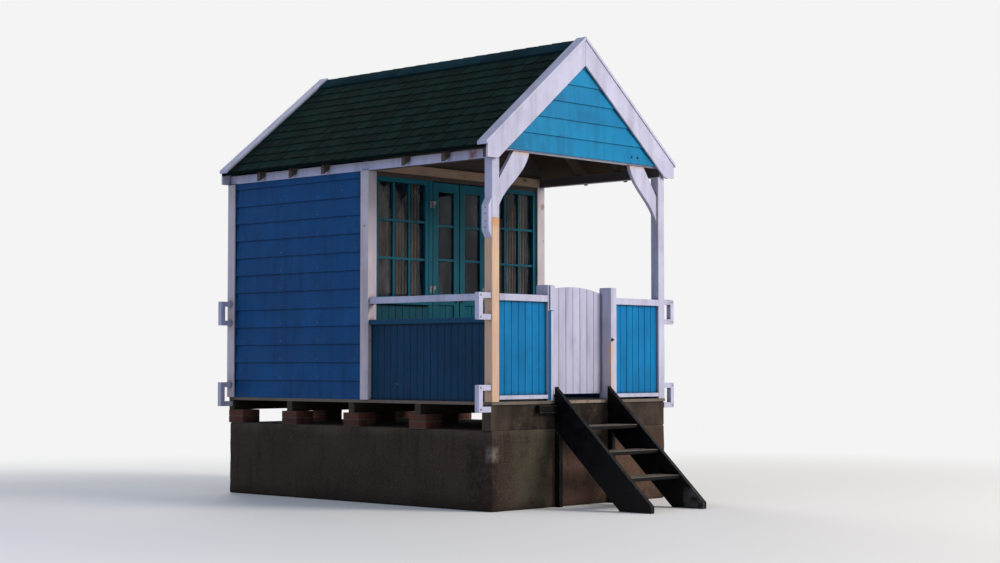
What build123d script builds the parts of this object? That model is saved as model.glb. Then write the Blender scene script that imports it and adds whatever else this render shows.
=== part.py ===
from build123d import *
import math
import os

# A painted timber beach hut on a concrete plinth, with a gated veranda in front of a small
# cabin and a flight of open steps down to the ground. All sizes are in millimetres.
# While it is drawn, y = 0 is the front face of the veranda's corner posts and z = 0 the
# ground. Every node is moved at the end, so that the origin is under the middle of the hut.

os.makedirs("parts", exist_ok=True)

# Base and floor
plinth_height = 705.0
pier_side = 215.0
pier_height = 130.0
piers_in_row = 3
bearer_width = 75.0
bearer_height = 97.0
bearer_count = 4
kerb_thick = 110.0
kerb_setback = 15.0
floor_thick = 28.0
deck_board = 118.0
deck_groove = 7.0

# Hut body
hut_width = 2440.0
hut_depth = 3660.0
veranda_depth = 1600.0
wall_thick = 70.0
head_beam_thick = 40.0
post_side = 95.0
post_height = 2150.0
plate_width = 75.0
plate_height = 85.0
lap_cover = 174.0
lap_step = 14.0
corner_trim_width = 90.0
corner_trim_thick = 18.0

# Spliced front post
splice_height = 1620.0
splice_plate_length = 360.0
splice_plate_thick = 40.0
splice_plate_taper = 70.0

# Roof
roof_pitch = 39.0
rafter_seat = 40.0
eave_overhang = 110.0
felt_thick = 8.0
roof_board_thick = 18.0
shingle_course = 143.0
shingle_step = 6.0
rafter_width = 45.0
rafter_depth = 90.0
rafter_tail_setback = 40.0
rafters_per_bay = 3
ridge_board_thick = 22.0
ridge_board_depth = 120.0
ridge_strip_reach = 125.0
ridge_strip_thick = 6.0

# Gables
gable_board_thick = 20.0
gable_board_cover = 165.0
gable_board_step = 11.0
gable_drop = 10.0
tie_beam_height = 75.0
tie_beam_width = 70.0
barge_width = 185.0
barge_thick = 22.0
barge_overhang = 100.0
barge_foot_drop = 5.0
capping_width = 120.0
capping_thick = 25.0
capping_lip = 8.0
capping_overhang = 120.0
mitre_gap = 2.0

# Knee braces of the veranda
brace_thick = 38.0
brace_setback = 20.0
brace_out_near = 205.0
brace_out_far = 415.0
brace_down_near = 285.0
brace_down_far = 545.0
brace_wave = 26.0

# Veranda front and sides
gate_opening = 810.0
gate_post_width = 80.0
gate_post_depth = 142.0
gate_post_height = 1050.0
post_chamfer = 5.0
rail_top_height = 955.0
top_rail_height = 60.0
top_rail_width = 62.0
bottom_rail_height = 35.0
bottom_rail_clear = 20.0
rail_round = 8.0
panel_thick = 19.0
panel_setback = 28.0
panel_board = 90.0
panel_groove = 9.0
side_gap_height = 150.0
side_mid_rail_height = 45.0

# Gate
gate_clear = 8.0
gate_board_thick = 20.0
gate_boards_count = 8
gate_foot_height = 57.0
gate_shoulder_height = 995.0
gate_arch_rise = 50.0
ledge_thick = 25.0
ledge_height = 95.0
ledge_inset = 22.0
ledge_low = 130.0
ledge_high = 745.0
gate_pin_radius = 6.0
gate_eye_radius = 12.0
gate_axis_beside = 6.0
gate_axis_behind = 31.0
band_height = 30.0
band_thick = 4.0
band_length = 330.0
hook_plate_height = 90.0
hook_plate_width = 46.0
hook_plate_thick = 5.0
hook_arm_height = 12.0
pin_clear = 0.3

# Cabin front
door_opening = 740.0
jamb_width = 50.0
lintel_height = 40.0
window_foot_height = 930.0
sill_thick = 30.0
sill_reach = 42.0
window_frame_width = 45.0
window_frame_depth = 60.0
window_bar_width = 22.0
window_bar_depth = 26.0
window_columns = 3
window_rows = 3
glass_thick = 4.0

# Cabin doors
leaf_thick = 40.0
leaf_clear = 6.0
leaf_meeting_gap = 12.0
leaf_floor_clear = 10.0
stile_width = 72.0
leaf_rail_height = 90.0
lock_rail_height = 110.0
lock_rail_middle = 960.0
kick_rail_height = 180.0
leaf_panel_thick = 16.0
leaf_rows = 3
door_stop_depth = 24.0
door_stop_width = 16.0
hinge_pin_radius = 5.0
hinge_barrel_radius = 8.0
hinge_half_height = 34.0
hinge_plate_thick = 2.5
hinge_plate_width = 36.0
hinge_off_face = 11.5
hinge_from_end = 220.0

# Curtains inside the cabin windows
curtain_rod_radius = 8.0
curtain_rod_off = 38.0
curtain_rod_over = 22.0
curtain_rod_beyond = 12.0
curtain_bracket = 14.0
curtain_depth = 44.0
curtain_width = 205.0
curtain_length = 1120.0
curtain_clear = 0.5

# Cleat on the left gate post
cleat_length = 225.0
cleat_width = 62.0
cleat_thick = 16.0

# Carrying loops on the corners
loop_member = 50.0
loop_depth = 50.0
loop_hollow_width = 105.0
loop_hollow_height = 140.0
loop_foot_heights = (-90.0, 720.0)
loop_end_setback = 10.0

# Steps
step_rise = 222.0
step_going = 240.0
tread_count = 3
tread_depth = 236.0
tread_thick = 36.0
nosing_setback = 16.0
stringer_width = 285.0
stringer_thick = 45.0
stairs_width = 790.0
stairs_tip_height = 128.0
step_leg_depth = 60.0
batten_height = 66.0
batten_thick = 42.0
batten_length = 245.0

# Places worked out from the sizes above
half_width = hut_width / 2
deck_top = plinth_height + pier_height + bearer_height + floor_thick
bearer_top = deck_top - floor_thick
bearer_foot = bearer_top - bearer_height
plate_foot = deck_top + post_height
plate_top = plate_foot + plate_height
plate_inner = half_width - plate_width
slope = math.tan(math.radians(roof_pitch))
slope_cos = math.cos(math.radians(roof_pitch))
roof_thick = felt_thick + roof_board_thick
rafter_under = roof_thick + rafter_depth
roof_top = plate_top + (half_width - rafter_seat) * slope + rafter_under / slope_cos
eave_x = half_width + eave_overhang
cabin_front = veranda_depth
cabin_inner_front = cabin_front + wall_thick
rear_inner = hut_depth - wall_thick
head_z = plate_foot - lintel_height
barge_foot = plate_foot - barge_foot_drop
window_foot = deck_top + window_foot_height
jamb_inner = door_opening / 2
window_inner = jamb_inner + jamb_width
window_outer = half_width - corner_trim_width
gate_half = gate_opening / 2
post_inner = half_width - post_side
gate_post_outer = gate_half + gate_post_width
rail_top = deck_top + rail_top_height
rail_foot = rail_top - top_rail_height
front_panel_foot = deck_top + bottom_rail_clear + bottom_rail_height
stair_slope = step_rise / step_going
stair_cos = math.cos(math.atan(stair_slope))
stringer_tip = deck_top + stairs_tip_height


def block(x0, x1, y0, y1, z0, z1):
    """A plain squared timber or slab between two corners."""
    return Pos(x0, y0, z0) * Box(x1 - x0, y1 - y0, z1 - z0, align=(Align.MIN, Align.MIN, Align.MIN))


def cut_across(points, y0, y1):
    """A shape drawn in x and z, as thick as the distance from y0 to y1."""
    face = make_face(Polyline([(x, y0, z) for x, z in points], close=True))
    return extrude(face, amount=y1 - y0, dir=(0, 1, 0))


def cut_along(points, x0, x1):
    """A shape drawn in y and z, as thick as the distance from x0 to x1."""
    face = make_face(Polyline([(x0, y, z) for y, z in points], close=True))
    return extrude(face, amount=x1 - x0, dir=(1, 0, 0))


def mirrored(solid):
    """The same piece on the other side of the hut's middle."""
    return mirror(solid, about=Plane.YZ)


def pair(solid):
    """A right-hand piece and its left-hand twin."""
    return [solid, mirrored(solid)]


def roof_z(x, depth=0.0):
    """Height, at x from the ridge, of the plane that lies this deep under the roof's top."""
    return roof_top - abs(x) * slope - depth / slope_cos


def roof_x(z, depth=0.0):
    """How far from the ridge that plane comes down to height z."""
    return (roof_top - depth / slope_cos - z) / slope


def grooved_sheet(width, height, thick, board, groove):
    """Upright matched boards: front face at y = 0 with a V groove at each joint."""
    count = max(1, round(width / board))
    pitch = width / count
    outline = [(0, thick), (0, 0)]
    for joint in range(1, count):
        x = joint * pitch
        outline += [(x - groove / 2, 0), (x, groove * 0.6), (x + groove / 2, 0)]
    outline += [(width, 0), (width, thick)]
    face = make_face(Polyline([(x, y, 0) for x, y in outline], close=True))
    return extrude(face, amount=height, dir=(0, 0, 1))


def lapped_outline(foot, top, thick, cover, step):
    """Lapped boards in section: (outward distance, height), thickest at each lower edge."""
    outline = [(0, foot)]
    z = foot
    while z < top - 1:
        upper = min(z + cover, top)
        outline.append((thick, z))
        outline.append((thick - step * (upper - z) / cover, upper))
        z = upper
    outline.append((0, top))
    return outline


# Base


def plinth():
    return block(-half_width, half_width, 0, hut_depth, 0, plinth_height)


def front_kerb():
    """A low wall that closes the space under the floor at the front and carries its edge."""
    back = kerb_setback + kerb_thick
    return block(-half_width, half_width, kerb_setback, back, plinth_height, bearer_top)


def bearer_places():
    """Front faces of the bearers, evenly spaced from the kerb to the back of the hut."""
    pitch = (hut_depth - bearer_width) / bearer_count
    return [(number + 1) * pitch for number in range(bearer_count)]


def bearers():
    x = half_width
    return [block(-x, x, y, y + bearer_width, bearer_foot, bearer_top) for y in bearer_places()]


def brick_piers():
    piers = []
    row_pitch = (hut_width - pier_side) / (piers_in_row - 1)
    for y in bearer_places():
        middle = y + bearer_width / 2
        y0 = min(middle - pier_side / 2, hut_depth - pier_side)
        for number in range(piers_in_row):
            x0 = -half_width + number * row_pitch
            piers.append(block(x0, x0 + pier_side, y0, y0 + pier_side, plinth_height, bearer_foot))
    return piers


def floor_boards(front, back):
    """Floor boards laid across the hut, grooved on top at each joint."""
    depth = back - front
    count = round(depth / deck_board)
    pitch = depth / count
    outline = [(front, bearer_top), (front, deck_top)]
    for joint in range(1, count):
        y = front + joint * pitch
        outline.append((y - deck_groove / 2, deck_top))
        outline.append((y, deck_top - deck_groove))
        outline.append((y + deck_groove / 2, deck_top))
    outline += [(back, deck_top), (back, bearer_top)]
    return cut_along(outline, -half_width, half_width)


# Veranda posts and frame


def corner_post(x0, z0, z1):
    post = block(x0, x0 + post_side, 0, post_side, z0, z1)
    return chamfer(post.edges().filter_by(Axis.Z), post_chamfer)


def splice_plate():
    """The plate over the post's joint: its two ends taper towards the post."""
    middle = deck_top + splice_height
    half = splice_plate_length / 2
    outer = -half_width - splice_plate_thick
    points = [
        (-half_width, middle - half),
        (outer, middle - half + splice_plate_taper),
        (outer, middle + half - splice_plate_taper),
        (-half_width, middle + half),
    ]
    return cut_across(points, post_chamfer, post_side - post_chamfer)


def gate_post():
    z1 = deck_top + gate_post_height
    post = block(gate_half, gate_post_outer, 0, gate_post_depth, deck_top, z1)
    return chamfer(post.edges().group_by(Axis.Z)[-1], post_chamfer)


def gate_post_cleat():
    """A short board nailed on the front of the left gate post, flush with its top."""
    x1 = -gate_half
    top = deck_top + gate_post_height - post_chamfer
    return block(x1 - cleat_width, x1, -cleat_thick, 0, top - cleat_length, top)


def front_rails():
    y1 = top_rail_width
    top = block(gate_post_outer, post_inner, 0, y1, rail_foot, rail_top)
    top = fillet(top.edges().group_by(Axis.Z)[-1].filter_by(Axis.X), rail_round)
    foot = deck_top + bottom_rail_clear
    bottom = block(gate_post_outer, post_inner, 0, y1, foot, front_panel_foot)
    return pair(top) + pair(bottom)


def front_panels():
    width = post_inner - gate_post_outer
    sheet = grooved_sheet(width, rail_foot - front_panel_foot, panel_thick, panel_board, panel_groove)
    return pair(Pos(gate_post_outer, panel_setback, front_panel_foot) * sheet)


def side_rail_solids():
    y0 = post_side
    y1 = cabin_front - corner_trim_thick
    x0 = half_width - top_rail_width
    top = block(x0, half_width, y0, y1, rail_foot, rail_top)
    top = fillet(top.edges().group_by(Axis.Z)[-1].filter_by(Axis.Y), rail_round)
    mid_top = rail_foot - side_gap_height
    middle = block(x0, half_width, y0, y1, mid_top - side_mid_rail_height, mid_top)
    return pair(top) + pair(middle)


def side_panels():
    """Matched boards under the side rails, with their grooves towards the outside."""
    y0 = post_side
    length = cabin_front - corner_trim_thick - post_side
    top = rail_foot - side_gap_height - side_mid_rail_height
    sheet = grooved_sheet(length, top - deck_top, panel_thick, panel_board, panel_groove)
    turned = Rot(0, 0, 90) * sheet
    return pair(Pos(half_width - panel_setback, y0, deck_top) * turned)


def knee_brace():
    """A sawn brace: straight along its upper edge and waved along its lower one."""
    x = post_inner
    z = plate_top
    upper = [(x, z - brace_down_near), (x - brace_out_near, z)]
    lower_start = Vector(x - brace_out_far, brace_setback, z)
    lower_end = Vector(x, brace_setback, z - brace_down_far)
    run = lower_end - lower_start
    across = Vector(-run.Z, 0, run.X).normalized()
    hollow = lower_start + run * 0.3 - across * brace_wave
    swell = lower_start + run * 0.68 + across * brace_wave * 0.6
    wave = Spline([lower_start, hollow, swell, lower_end])
    a = Vector(upper[0][0], brace_setback, upper[0][1])
    b = Vector(upper[1][0], brace_setback, upper[1][1])
    edges = [wave, Line(lower_end, a), Line(a, b), Line(b, lower_start)]
    return extrude(make_face(edges), amount=brace_thick, dir=(0, 1, 0))


def wall_plates():
    return pair(block(plate_inner, half_width, 0, hut_depth, plate_foot, plate_top))


def front_tie_beam():
    foot_x = roof_x(plate_top, rafter_under)
    top_z = plate_top + tie_beam_height
    top_x = roof_x(top_z, rafter_under)
    points = [(-foot_x, plate_top), (foot_x, plate_top), (top_x, top_z), (-top_x, top_z)]
    return cut_across(points, 0, tie_beam_width)


# Gables and bargeboards


def front_gable_boards():
    foot = plate_top + gable_drop
    lapped = lapped_outline(foot, roof_top, gable_board_thick, gable_board_cover, gable_board_step)
    boards = cut_along([(-out, z) for out, z in lapped], -eave_x, eave_x)
    reach = roof_x(foot, roof_thick)
    triangle = [(-reach, foot), (reach, foot), (0, roof_z(0, roof_thick))]
    return boards & cut_across(triangle, -gable_board_thick, 0)


def bargeboards():
    end = half_width + barge_overhang
    start = mitre_gap / 2
    points = [
        (start, roof_z(start)),
        (end, roof_z(end)),
        (end, barge_foot),
        (roof_x(barge_foot, barge_width), barge_foot),
        (start, roof_z(start, barge_width)),
    ]
    front = cut_across(points, -gable_board_thick - barge_thick, -gable_board_thick)
    rear = cut_across(points, hut_depth, hut_depth + barge_thick)
    return pair(front) + pair(rear)


def cappings():
    """Broad strips over the roof's front and rear edges, a little past the bargeboards."""
    end = half_width + capping_overhang
    start = mitre_gap / 2
    points = [
        (start, roof_z(start)),
        (start, roof_z(start, -capping_thick)),
        (end, roof_z(end, -capping_thick)),
        (end, roof_z(end)),
    ]
    front_face = -gable_board_thick - barge_thick - capping_lip
    rear_face = hut_depth + barge_thick + capping_lip
    front = cut_across(points, front_face, front_face + capping_width)
    rear = cut_across(points, rear_face - capping_width, rear_face)
    return pair(front) + pair(rear)


# Roof


def rafter_places():
    """Front faces of the rafters over the veranda and over the cabin."""
    veranda_pitch = (cabin_front - rafter_width) / rafters_per_bay
    cabin_pitch = (rear_inner - cabin_inner_front) / (rafters_per_bay + 1)
    veranda = [number * veranda_pitch for number in range(rafters_per_bay)]
    cabin = [cabin_inner_front + (number + 1) * cabin_pitch for number in range(rafters_per_bay)]
    return veranda + cabin


def rafters():
    start = ridge_board_thick / 2
    tail = eave_x - rafter_tail_setback
    points = [
        (start, roof_z(start, roof_thick)),
        (tail, roof_z(tail, roof_thick)),
        (tail, roof_z(tail, rafter_under)),
        (start, roof_z(start, rafter_under)),
    ]
    rafter = cut_across(points, 0, rafter_width)
    rafter -= block(plate_inner, half_width, 0, rafter_width, plate_foot, plate_top)
    timbers = []
    for y in rafter_places():
        timbers += pair(Pos(0, y, 0) * rafter)
    return timbers


def ridge_boards():
    side = ridge_board_thick / 2
    foot = roof_z(side, roof_thick) - ridge_board_depth
    top_side = roof_z(side, roof_thick)
    points = [(-side, foot), (side, foot), (side, top_side), (0, roof_z(0, roof_thick)), (-side, top_side)]
    over_veranda = cut_across(points, 0, cabin_front)
    over_cabin = cut_across(points, cabin_inner_front, rear_inner)
    return [over_veranda, over_cabin]


def roof_slope():
    """Boards and felt of one slope, stepped at the lower edge of each shingle course."""
    course_run = shingle_course * slope_cos
    first = ridge_strip_reach + shingle_step
    count = round((eave_x - first) / course_run)
    run = (eave_x - first) / count
    outline = [(0, roof_z(0)), (first, roof_z(first))]
    for course in range(count):
        upper = first + course * run
        lower = upper + run
        outline.append((upper, roof_z(upper, shingle_step)))
        outline.append((lower, roof_z(lower)))
    outline.append((eave_x, roof_z(eave_x, roof_thick)))
    outline.append((0, roof_z(0, roof_thick)))
    return cut_across(outline, -gable_board_thick, hut_depth)


def ridge_strip():
    reach = ridge_strip_reach
    points = [
        (-reach, roof_z(reach)),
        (0, roof_z(0)),
        (reach, roof_z(reach)),
        (reach, roof_z(reach, -ridge_strip_thick)),
        (0, roof_z(0, -ridge_strip_thick)),
        (-reach, roof_z(reach, -ridge_strip_thick)),
    ]
    front = -gable_board_thick - barge_thick - capping_lip + capping_width
    rear = hut_depth + barge_thick + capping_lip - capping_width
    return cut_across(points, front, rear)


# Cabin walls


def gable_outline(foot):
    """A wall's head: between the wall plates, over them, and up to the roof boards."""
    return [
        (-plate_inner, foot),
        (plate_inner, foot),
        (plate_inner, plate_top),
        (half_width, plate_top),
        (half_width, roof_z(half_width, roof_thick)),
        (0, roof_z(0, roof_thick)),
        (-half_width, roof_z(half_width, roof_thick)),
        (-half_width, plate_top),
        (-plate_inner, plate_top),
    ]


def cabin_front_gable():
    """The head over windows and doors, in one with the boarded gable above it."""
    head = block(-window_outer, window_outer, cabin_front, cabin_inner_front, head_z, plate_foot)
    return head + cut_across(gable_outline(plate_foot), cabin_front, cabin_inner_front)


def cabin_head_beam():
    """A bare beam between the wall plates, in front of the cabin's gable."""
    front = cabin_front - head_beam_thick
    return block(-plate_inner, plate_inner, front, cabin_front, plate_foot, plate_top)


def cabin_front_posts():
    corner = block(window_outer, half_width, cabin_front, cabin_inner_front, deck_top, plate_foot)
    jamb = block(jamb_inner, window_inner, cabin_front, cabin_inner_front, deck_top, head_z)
    stop = block(
        jamb_inner - door_stop_width,
        jamb_inner,
        cabin_inner_front - door_stop_depth,
        cabin_inner_front,
        deck_top,
        head_z,
    )
    return pair(corner) + pair(jamb + stop)


def cabin_front_aprons():
    height = window_foot - sill_thick - deck_top
    sheet = grooved_sheet(window_outer - window_inner, height, wall_thick, panel_board, panel_groove)
    return pair(Pos(window_inner, cabin_front, deck_top) * sheet)


def cabin_side_walls():
    lapped = lapped_outline(deck_top, plate_foot, wall_thick, lap_cover, lap_step)
    inner = half_width - wall_thick
    return pair(cut_across([(inner + out, z) for out, z in lapped], cabin_inner_front, rear_inner))


def rear_wall():
    """Lapped boards from floor to ridge in one wall, notched round the wall plates."""
    lapped = lapped_outline(deck_top, roof_top, wall_thick, lap_cover, lap_step)
    boards = cut_along([(rear_inner + out, z) for out, z in lapped], -half_width, half_width)
    below = block(-half_width, half_width, rear_inner, hut_depth, deck_top, plate_foot)
    above = cut_across(gable_outline(plate_foot), rear_inner, hut_depth)
    return boards & (below + above)


def corner_trims():
    """Boards that turn round each corner of the cabin."""
    outer = half_width + corner_trim_thick
    width = corner_trim_width
    front = cabin_front - corner_trim_thick
    facing = block(window_outer, outer, front, cabin_front, deck_top, plate_foot)
    flank = block(half_width, outer, cabin_front, cabin_front + width, deck_top, plate_foot)
    rear = hut_depth + corner_trim_thick
    rear_facing = block(window_outer, outer, hut_depth, rear, deck_top, barge_foot)
    rear_flank = block(half_width, outer, hut_depth - width, hut_depth, deck_top, barge_foot)
    return pair(facing + flank) + pair(rear_facing + rear_flank)


# Windows


def window_sills():
    """Sills that run out past the wall and fall towards their front edge."""
    front = cabin_front - sill_reach
    z1 = window_foot
    points = [
        (front, z1 - sill_thick),
        (cabin_inner_front, z1 - sill_thick),
        (cabin_inner_front, z1),
        (cabin_front, z1),
        (front, z1 - sill_thick * 0.4),
    ]
    return pair(cut_along(points, window_inner, window_outer))


def window_frame():
    """An outer frame with glazing bars between its sides, in one piece."""
    side = window_frame_width
    y0 = cabin_front + (wall_thick - window_frame_depth) / 2
    y1 = y0 + window_frame_depth
    frame = block(window_inner, window_outer, y0, y1, window_foot, head_z)
    frame -= block(window_inner + side, window_outer - side, y0, y1, window_foot + side, head_z - side)
    width = window_outer - window_inner - 2 * side
    height = head_z - window_foot - 2 * side
    glass_front = y1 - glass_thick - window_frame_depth / 3
    bar_front = glass_front - window_bar_depth
    half_bar = window_bar_width / 2
    x0 = window_inner + side
    z0 = window_foot + side
    for column in range(1, window_columns):
        x = x0 + width * column / window_columns
        frame += block(x - half_bar, x + half_bar, bar_front, glass_front, z0, z0 + height)
    for row in range(1, window_rows):
        z = z0 + height * row / window_rows
        frame += block(x0, x0 + width, bar_front, glass_front, z - half_bar, z + half_bar)
    return frame


def window_glass():
    side = window_frame_width
    y1 = cabin_front + (wall_thick + window_frame_depth) / 2 - window_frame_depth / 3
    pane = block(
        window_inner + side, window_outer - side, y1 - glass_thick, y1, window_foot + side, head_z - side
    )
    return pair(pane)


# Curtains


rod_y = cabin_inner_front + curtain_rod_off
rod_z = head_z + curtain_rod_over


def curtain_rod():
    """A rod over the window, in one with the two brackets that hold it off the wall."""
    x0 = window_inner + curtain_rod_beyond
    x1 = window_outer - curtain_rod_beyond
    rod = Pos(x0, rod_y, rod_z) * Rot(0, 90, 0) * Cylinder(
        curtain_rod_radius, x1 - x0, align=(Align.CENTER, Align.CENTER, Align.MIN)
    )
    half = curtain_bracket / 2
    for x in (x0, x1 - curtain_bracket):
        rod += block(x, x + curtain_bracket, cabin_inner_front, rod_y, rod_z - half, rod_z + half)
    return rod


def curtains():
    """Soft hangings, one at each side of a window, as their plain outer shape."""
    top = rod_z - curtain_rod_radius - curtain_clear
    y0 = rod_y - curtain_depth / 2
    y1 = rod_y + curtain_depth / 2
    inner = window_inner + curtain_rod_beyond + curtain_bracket
    outer = window_outer - curtain_rod_beyond - curtain_bracket
    near = block(inner, inner + curtain_width, y0, y1, top - curtain_length, top)
    far = block(outer - curtain_width, outer, y0, y1, top - curtain_length, top)
    return pair(near) + pair(far)


# Cabin doors


leaf_hinge_x = jamb_inner
leaf_outer = jamb_inner - leaf_clear
leaf_inner = leaf_meeting_gap / 2
leaf_foot = deck_top + leaf_floor_clear
leaf_top = head_z - leaf_floor_clear
lock_foot = deck_top + lock_rail_middle - lock_rail_height / 2
lock_top = lock_foot + lock_rail_height
glass_left = leaf_inner + stile_width
glass_right = leaf_outer - stile_width
leaf_glass_y = cabin_front + leaf_thick / 2


def door_leaf():
    """Right leaf: stiles, rails and two glazing bars, with matched boards in its lower half."""
    y0 = cabin_front
    y1 = cabin_front + leaf_thick
    leaf = block(leaf_inner, leaf_outer, y0, y1, leaf_foot, leaf_top)
    leaf -= block(glass_left, glass_right, y0, y1, lock_top, leaf_top - leaf_rail_height)
    lower_foot = leaf_foot + kick_rail_height
    leaf -= block(glass_left, glass_right, y0, y1, lower_foot, lock_foot)
    width = glass_right - glass_left
    sheet = grooved_sheet(width, lock_foot - lower_foot, leaf_panel_thick, panel_board, panel_groove)
    leaf += Pos(glass_left, y0 + (leaf_thick - leaf_panel_thick) / 2, lower_foot) * sheet
    opening = leaf_top - leaf_rail_height - lock_top
    half_bar = window_bar_width / 2
    for row in range(1, leaf_rows):
        z = lock_top + opening * row / leaf_rows
        leaf += block(glass_left, glass_right, y0 + glass_thick, leaf_glass_y, z - half_bar, z + half_bar)
    return leaf


def door_glass():
    y0 = leaf_glass_y
    return block(glass_left, glass_right, y0, y0 + glass_thick, lock_top, leaf_top - leaf_rail_height)


def upright_rod(x, y, z0, z1, radius):
    return Pos(x, y, z0) * Cylinder(radius, z1 - z0, align=(Align.CENTER, Align.CENTER, Align.MIN))


def door_hinge_fixed(z):
    """Jamb half of a hinge: plate, lower knuckle, and the pin that stands in it."""
    axis_y = cabin_front - hinge_off_face
    plate = block(
        leaf_hinge_x, leaf_hinge_x + hinge_plate_width, cabin_front - hinge_plate_thick, cabin_front,
        z - hinge_half_height, z + hinge_half_height,
    )
    knuckle = upright_rod(leaf_hinge_x, axis_y, z - hinge_half_height, z, hinge_barrel_radius)
    web = block(
        leaf_hinge_x, leaf_hinge_x + hinge_barrel_radius, axis_y, cabin_front, z - hinge_half_height, z
    )
    pin = upright_rod(leaf_hinge_x, axis_y, z, z + hinge_half_height, hinge_pin_radius)
    return plate + knuckle + web + pin


def door_hinge_moving(z):
    """Leaf half of a hinge: plate and the upper knuckle that turns on the pin."""
    axis_y = cabin_front - hinge_off_face
    z0 = z + pin_clear
    z1 = z + hinge_half_height
    plate = block(
        leaf_outer - hinge_plate_width, leaf_outer, cabin_front - hinge_plate_thick, cabin_front, z0, z1
    )
    knuckle = upright_rod(leaf_hinge_x, axis_y, z0, z1, hinge_barrel_radius)
    link = block(leaf_outer - hinge_barrel_radius, leaf_outer, axis_y, cabin_front, z0, z1)
    bore = upright_rod(leaf_hinge_x, axis_y, z0, z1, hinge_pin_radius + pin_clear)
    return plate + knuckle + link - bore


def door_hinges(half):
    low = leaf_foot + hinge_from_end
    high = leaf_top - hinge_from_end
    return [half(z) for z in (low, (low + high) / 2, high)]


# Gate


gate_left = -gate_half + gate_clear
gate_right = gate_half - gate_clear
gate_back = gate_post_depth
gate_front = gate_back - gate_board_thick
gate_foot = deck_top + gate_foot_height
gate_shoulder = deck_top + gate_shoulder_height
gate_axis_x = -gate_half - gate_axis_beside
gate_axis_y = gate_post_depth + gate_axis_behind
ledge_back = gate_back + ledge_thick
band_heights = (deck_top + ledge_low + ledge_height / 2, deck_top + ledge_high + ledge_height / 2)


def gate_boards():
    """Matched boards under a low arched top."""
    width = gate_right - gate_left
    height = gate_shoulder + gate_arch_rise - gate_foot
    sheet = grooved_sheet(width, height, gate_board_thick, width / gate_boards_count, panel_groove)
    middle = (gate_left + gate_right) / 2
    foot_left = Vector(gate_left, gate_front, gate_foot)
    foot_right = Vector(gate_right, gate_front, gate_foot)
    left = Vector(gate_left, gate_front, gate_shoulder)
    right = Vector(gate_right, gate_front, gate_shoulder)
    crown = Vector(middle, gate_front, gate_shoulder + gate_arch_rise)
    edges = [
        Line(foot_left, foot_right),
        Line(foot_right, right),
        ThreePointArc(right, crown, left),
        Line(left, foot_left),
    ]
    arch = extrude(make_face(edges), amount=gate_board_thick, dir=(0, 1, 0))
    return (Pos(gate_left, gate_front, gate_foot) * sheet) & arch


def gate_ledges():
    """Two ledges and the brace between them, across the back of the boards."""
    x0 = gate_left + ledge_inset
    x1 = gate_right - ledge_inset
    low = deck_top + ledge_low
    high = deck_top + ledge_high
    frame = block(x0, x1, gate_back, ledge_back, low, low + ledge_height)
    frame += block(x0, x1, gate_back, ledge_back, high, high + ledge_height)
    points = [
        (x0, low + ledge_height),
        (x0 + ledge_height, low + ledge_height),
        (x1, high),
        (x1 - ledge_height, high),
    ]
    return frame + cut_across(points, gate_back, ledge_back)


def gate_band(z):
    """A strap on the ledge that ends in an eye round the hook's pin."""
    z0 = z - band_height / 2
    z1 = z + band_height / 2
    eye = upright_rod(gate_axis_x, gate_axis_y, z0, z1, gate_eye_radius)
    strap = block(gate_axis_x, gate_axis_x + band_length, ledge_back, ledge_back + band_thick, z0, z1)
    bore = upright_rod(gate_axis_x, gate_axis_y, z0, z1, gate_pin_radius + pin_clear)
    return eye + strap - bore


def gate_hook(z):
    """A plate on the back of the post, with an arm that carries an upright pin."""
    eye_foot = z - band_height / 2
    x0 = gate_axis_x - gate_pin_radius
    x1 = gate_axis_x + gate_pin_radius
    y0 = gate_post_depth
    half = hook_plate_height / 2
    plate = block(x1 - hook_plate_width, x1, y0, y0 + hook_plate_thick, z - half, z + half)
    arm_top = eye_foot - pin_clear
    arm = block(x0, x1, y0, gate_axis_y + gate_pin_radius, arm_top - hook_arm_height, arm_top)
    pin_top = z + band_height / 2 + gate_pin_radius
    pin = upright_rod(gate_axis_x, gate_axis_y, arm_top, pin_top, gate_pin_radius)
    return plate + arm + pin


# Carrying loops


def loop_places():
    """Root plane, front face and foot of each loop on the right side of the hut."""
    places = []
    rear = hut_depth - loop_end_setback - loop_depth
    for foot in loop_foot_heights:
        places.append((half_width, loop_end_setback, deck_top + foot))
        places.append((half_width, rear, deck_top + foot))
    return places


def loop_root(root, y, z):
    """The rear loops stand on the corner boards, where those cover the wall."""
    on_trim = y > cabin_front and z >= deck_top
    return root + corner_trim_thick if on_trim else root


def loop_arms():
    arms = []
    tall = loop_member + loop_hollow_height
    for root, y, foot in loop_places():
        end = root + loop_hollow_width
        for z in (foot, foot + tall):
            start = loop_root(root, y, z)
            arms += pair(block(start, end, y, y + loop_depth, z, z + loop_member))
    return arms


def loop_uprights():
    bars = []
    tall = 2 * loop_member + loop_hollow_height
    for root, y, foot in loop_places():
        inner = root + loop_hollow_width
        bars += pair(block(inner, inner + loop_member, y, y + loop_depth, foot, foot + tall))
    return bars


# Steps


def stringer_top(y):
    """Height of the stringers' upper edge at a place y in front of the hut."""
    return stringer_tip + y * stair_slope


stringer_drop = stringer_width / stair_cos
stringer_front = -(stringer_tip - step_leg_depth) / stair_slope


def stringer():
    x1 = stairs_width / 2
    lower_ground = (stringer_drop - stringer_tip) / stair_slope
    points = [
        (0, stringer_top(0)),
        (0, stringer_top(0) - stringer_drop),
        (lower_ground, 0),
        (stringer_front, 0),
        (stringer_front, stringer_top(stringer_front)),
    ]
    return cut_along(points, x1 - stringer_thick, x1)


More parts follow.
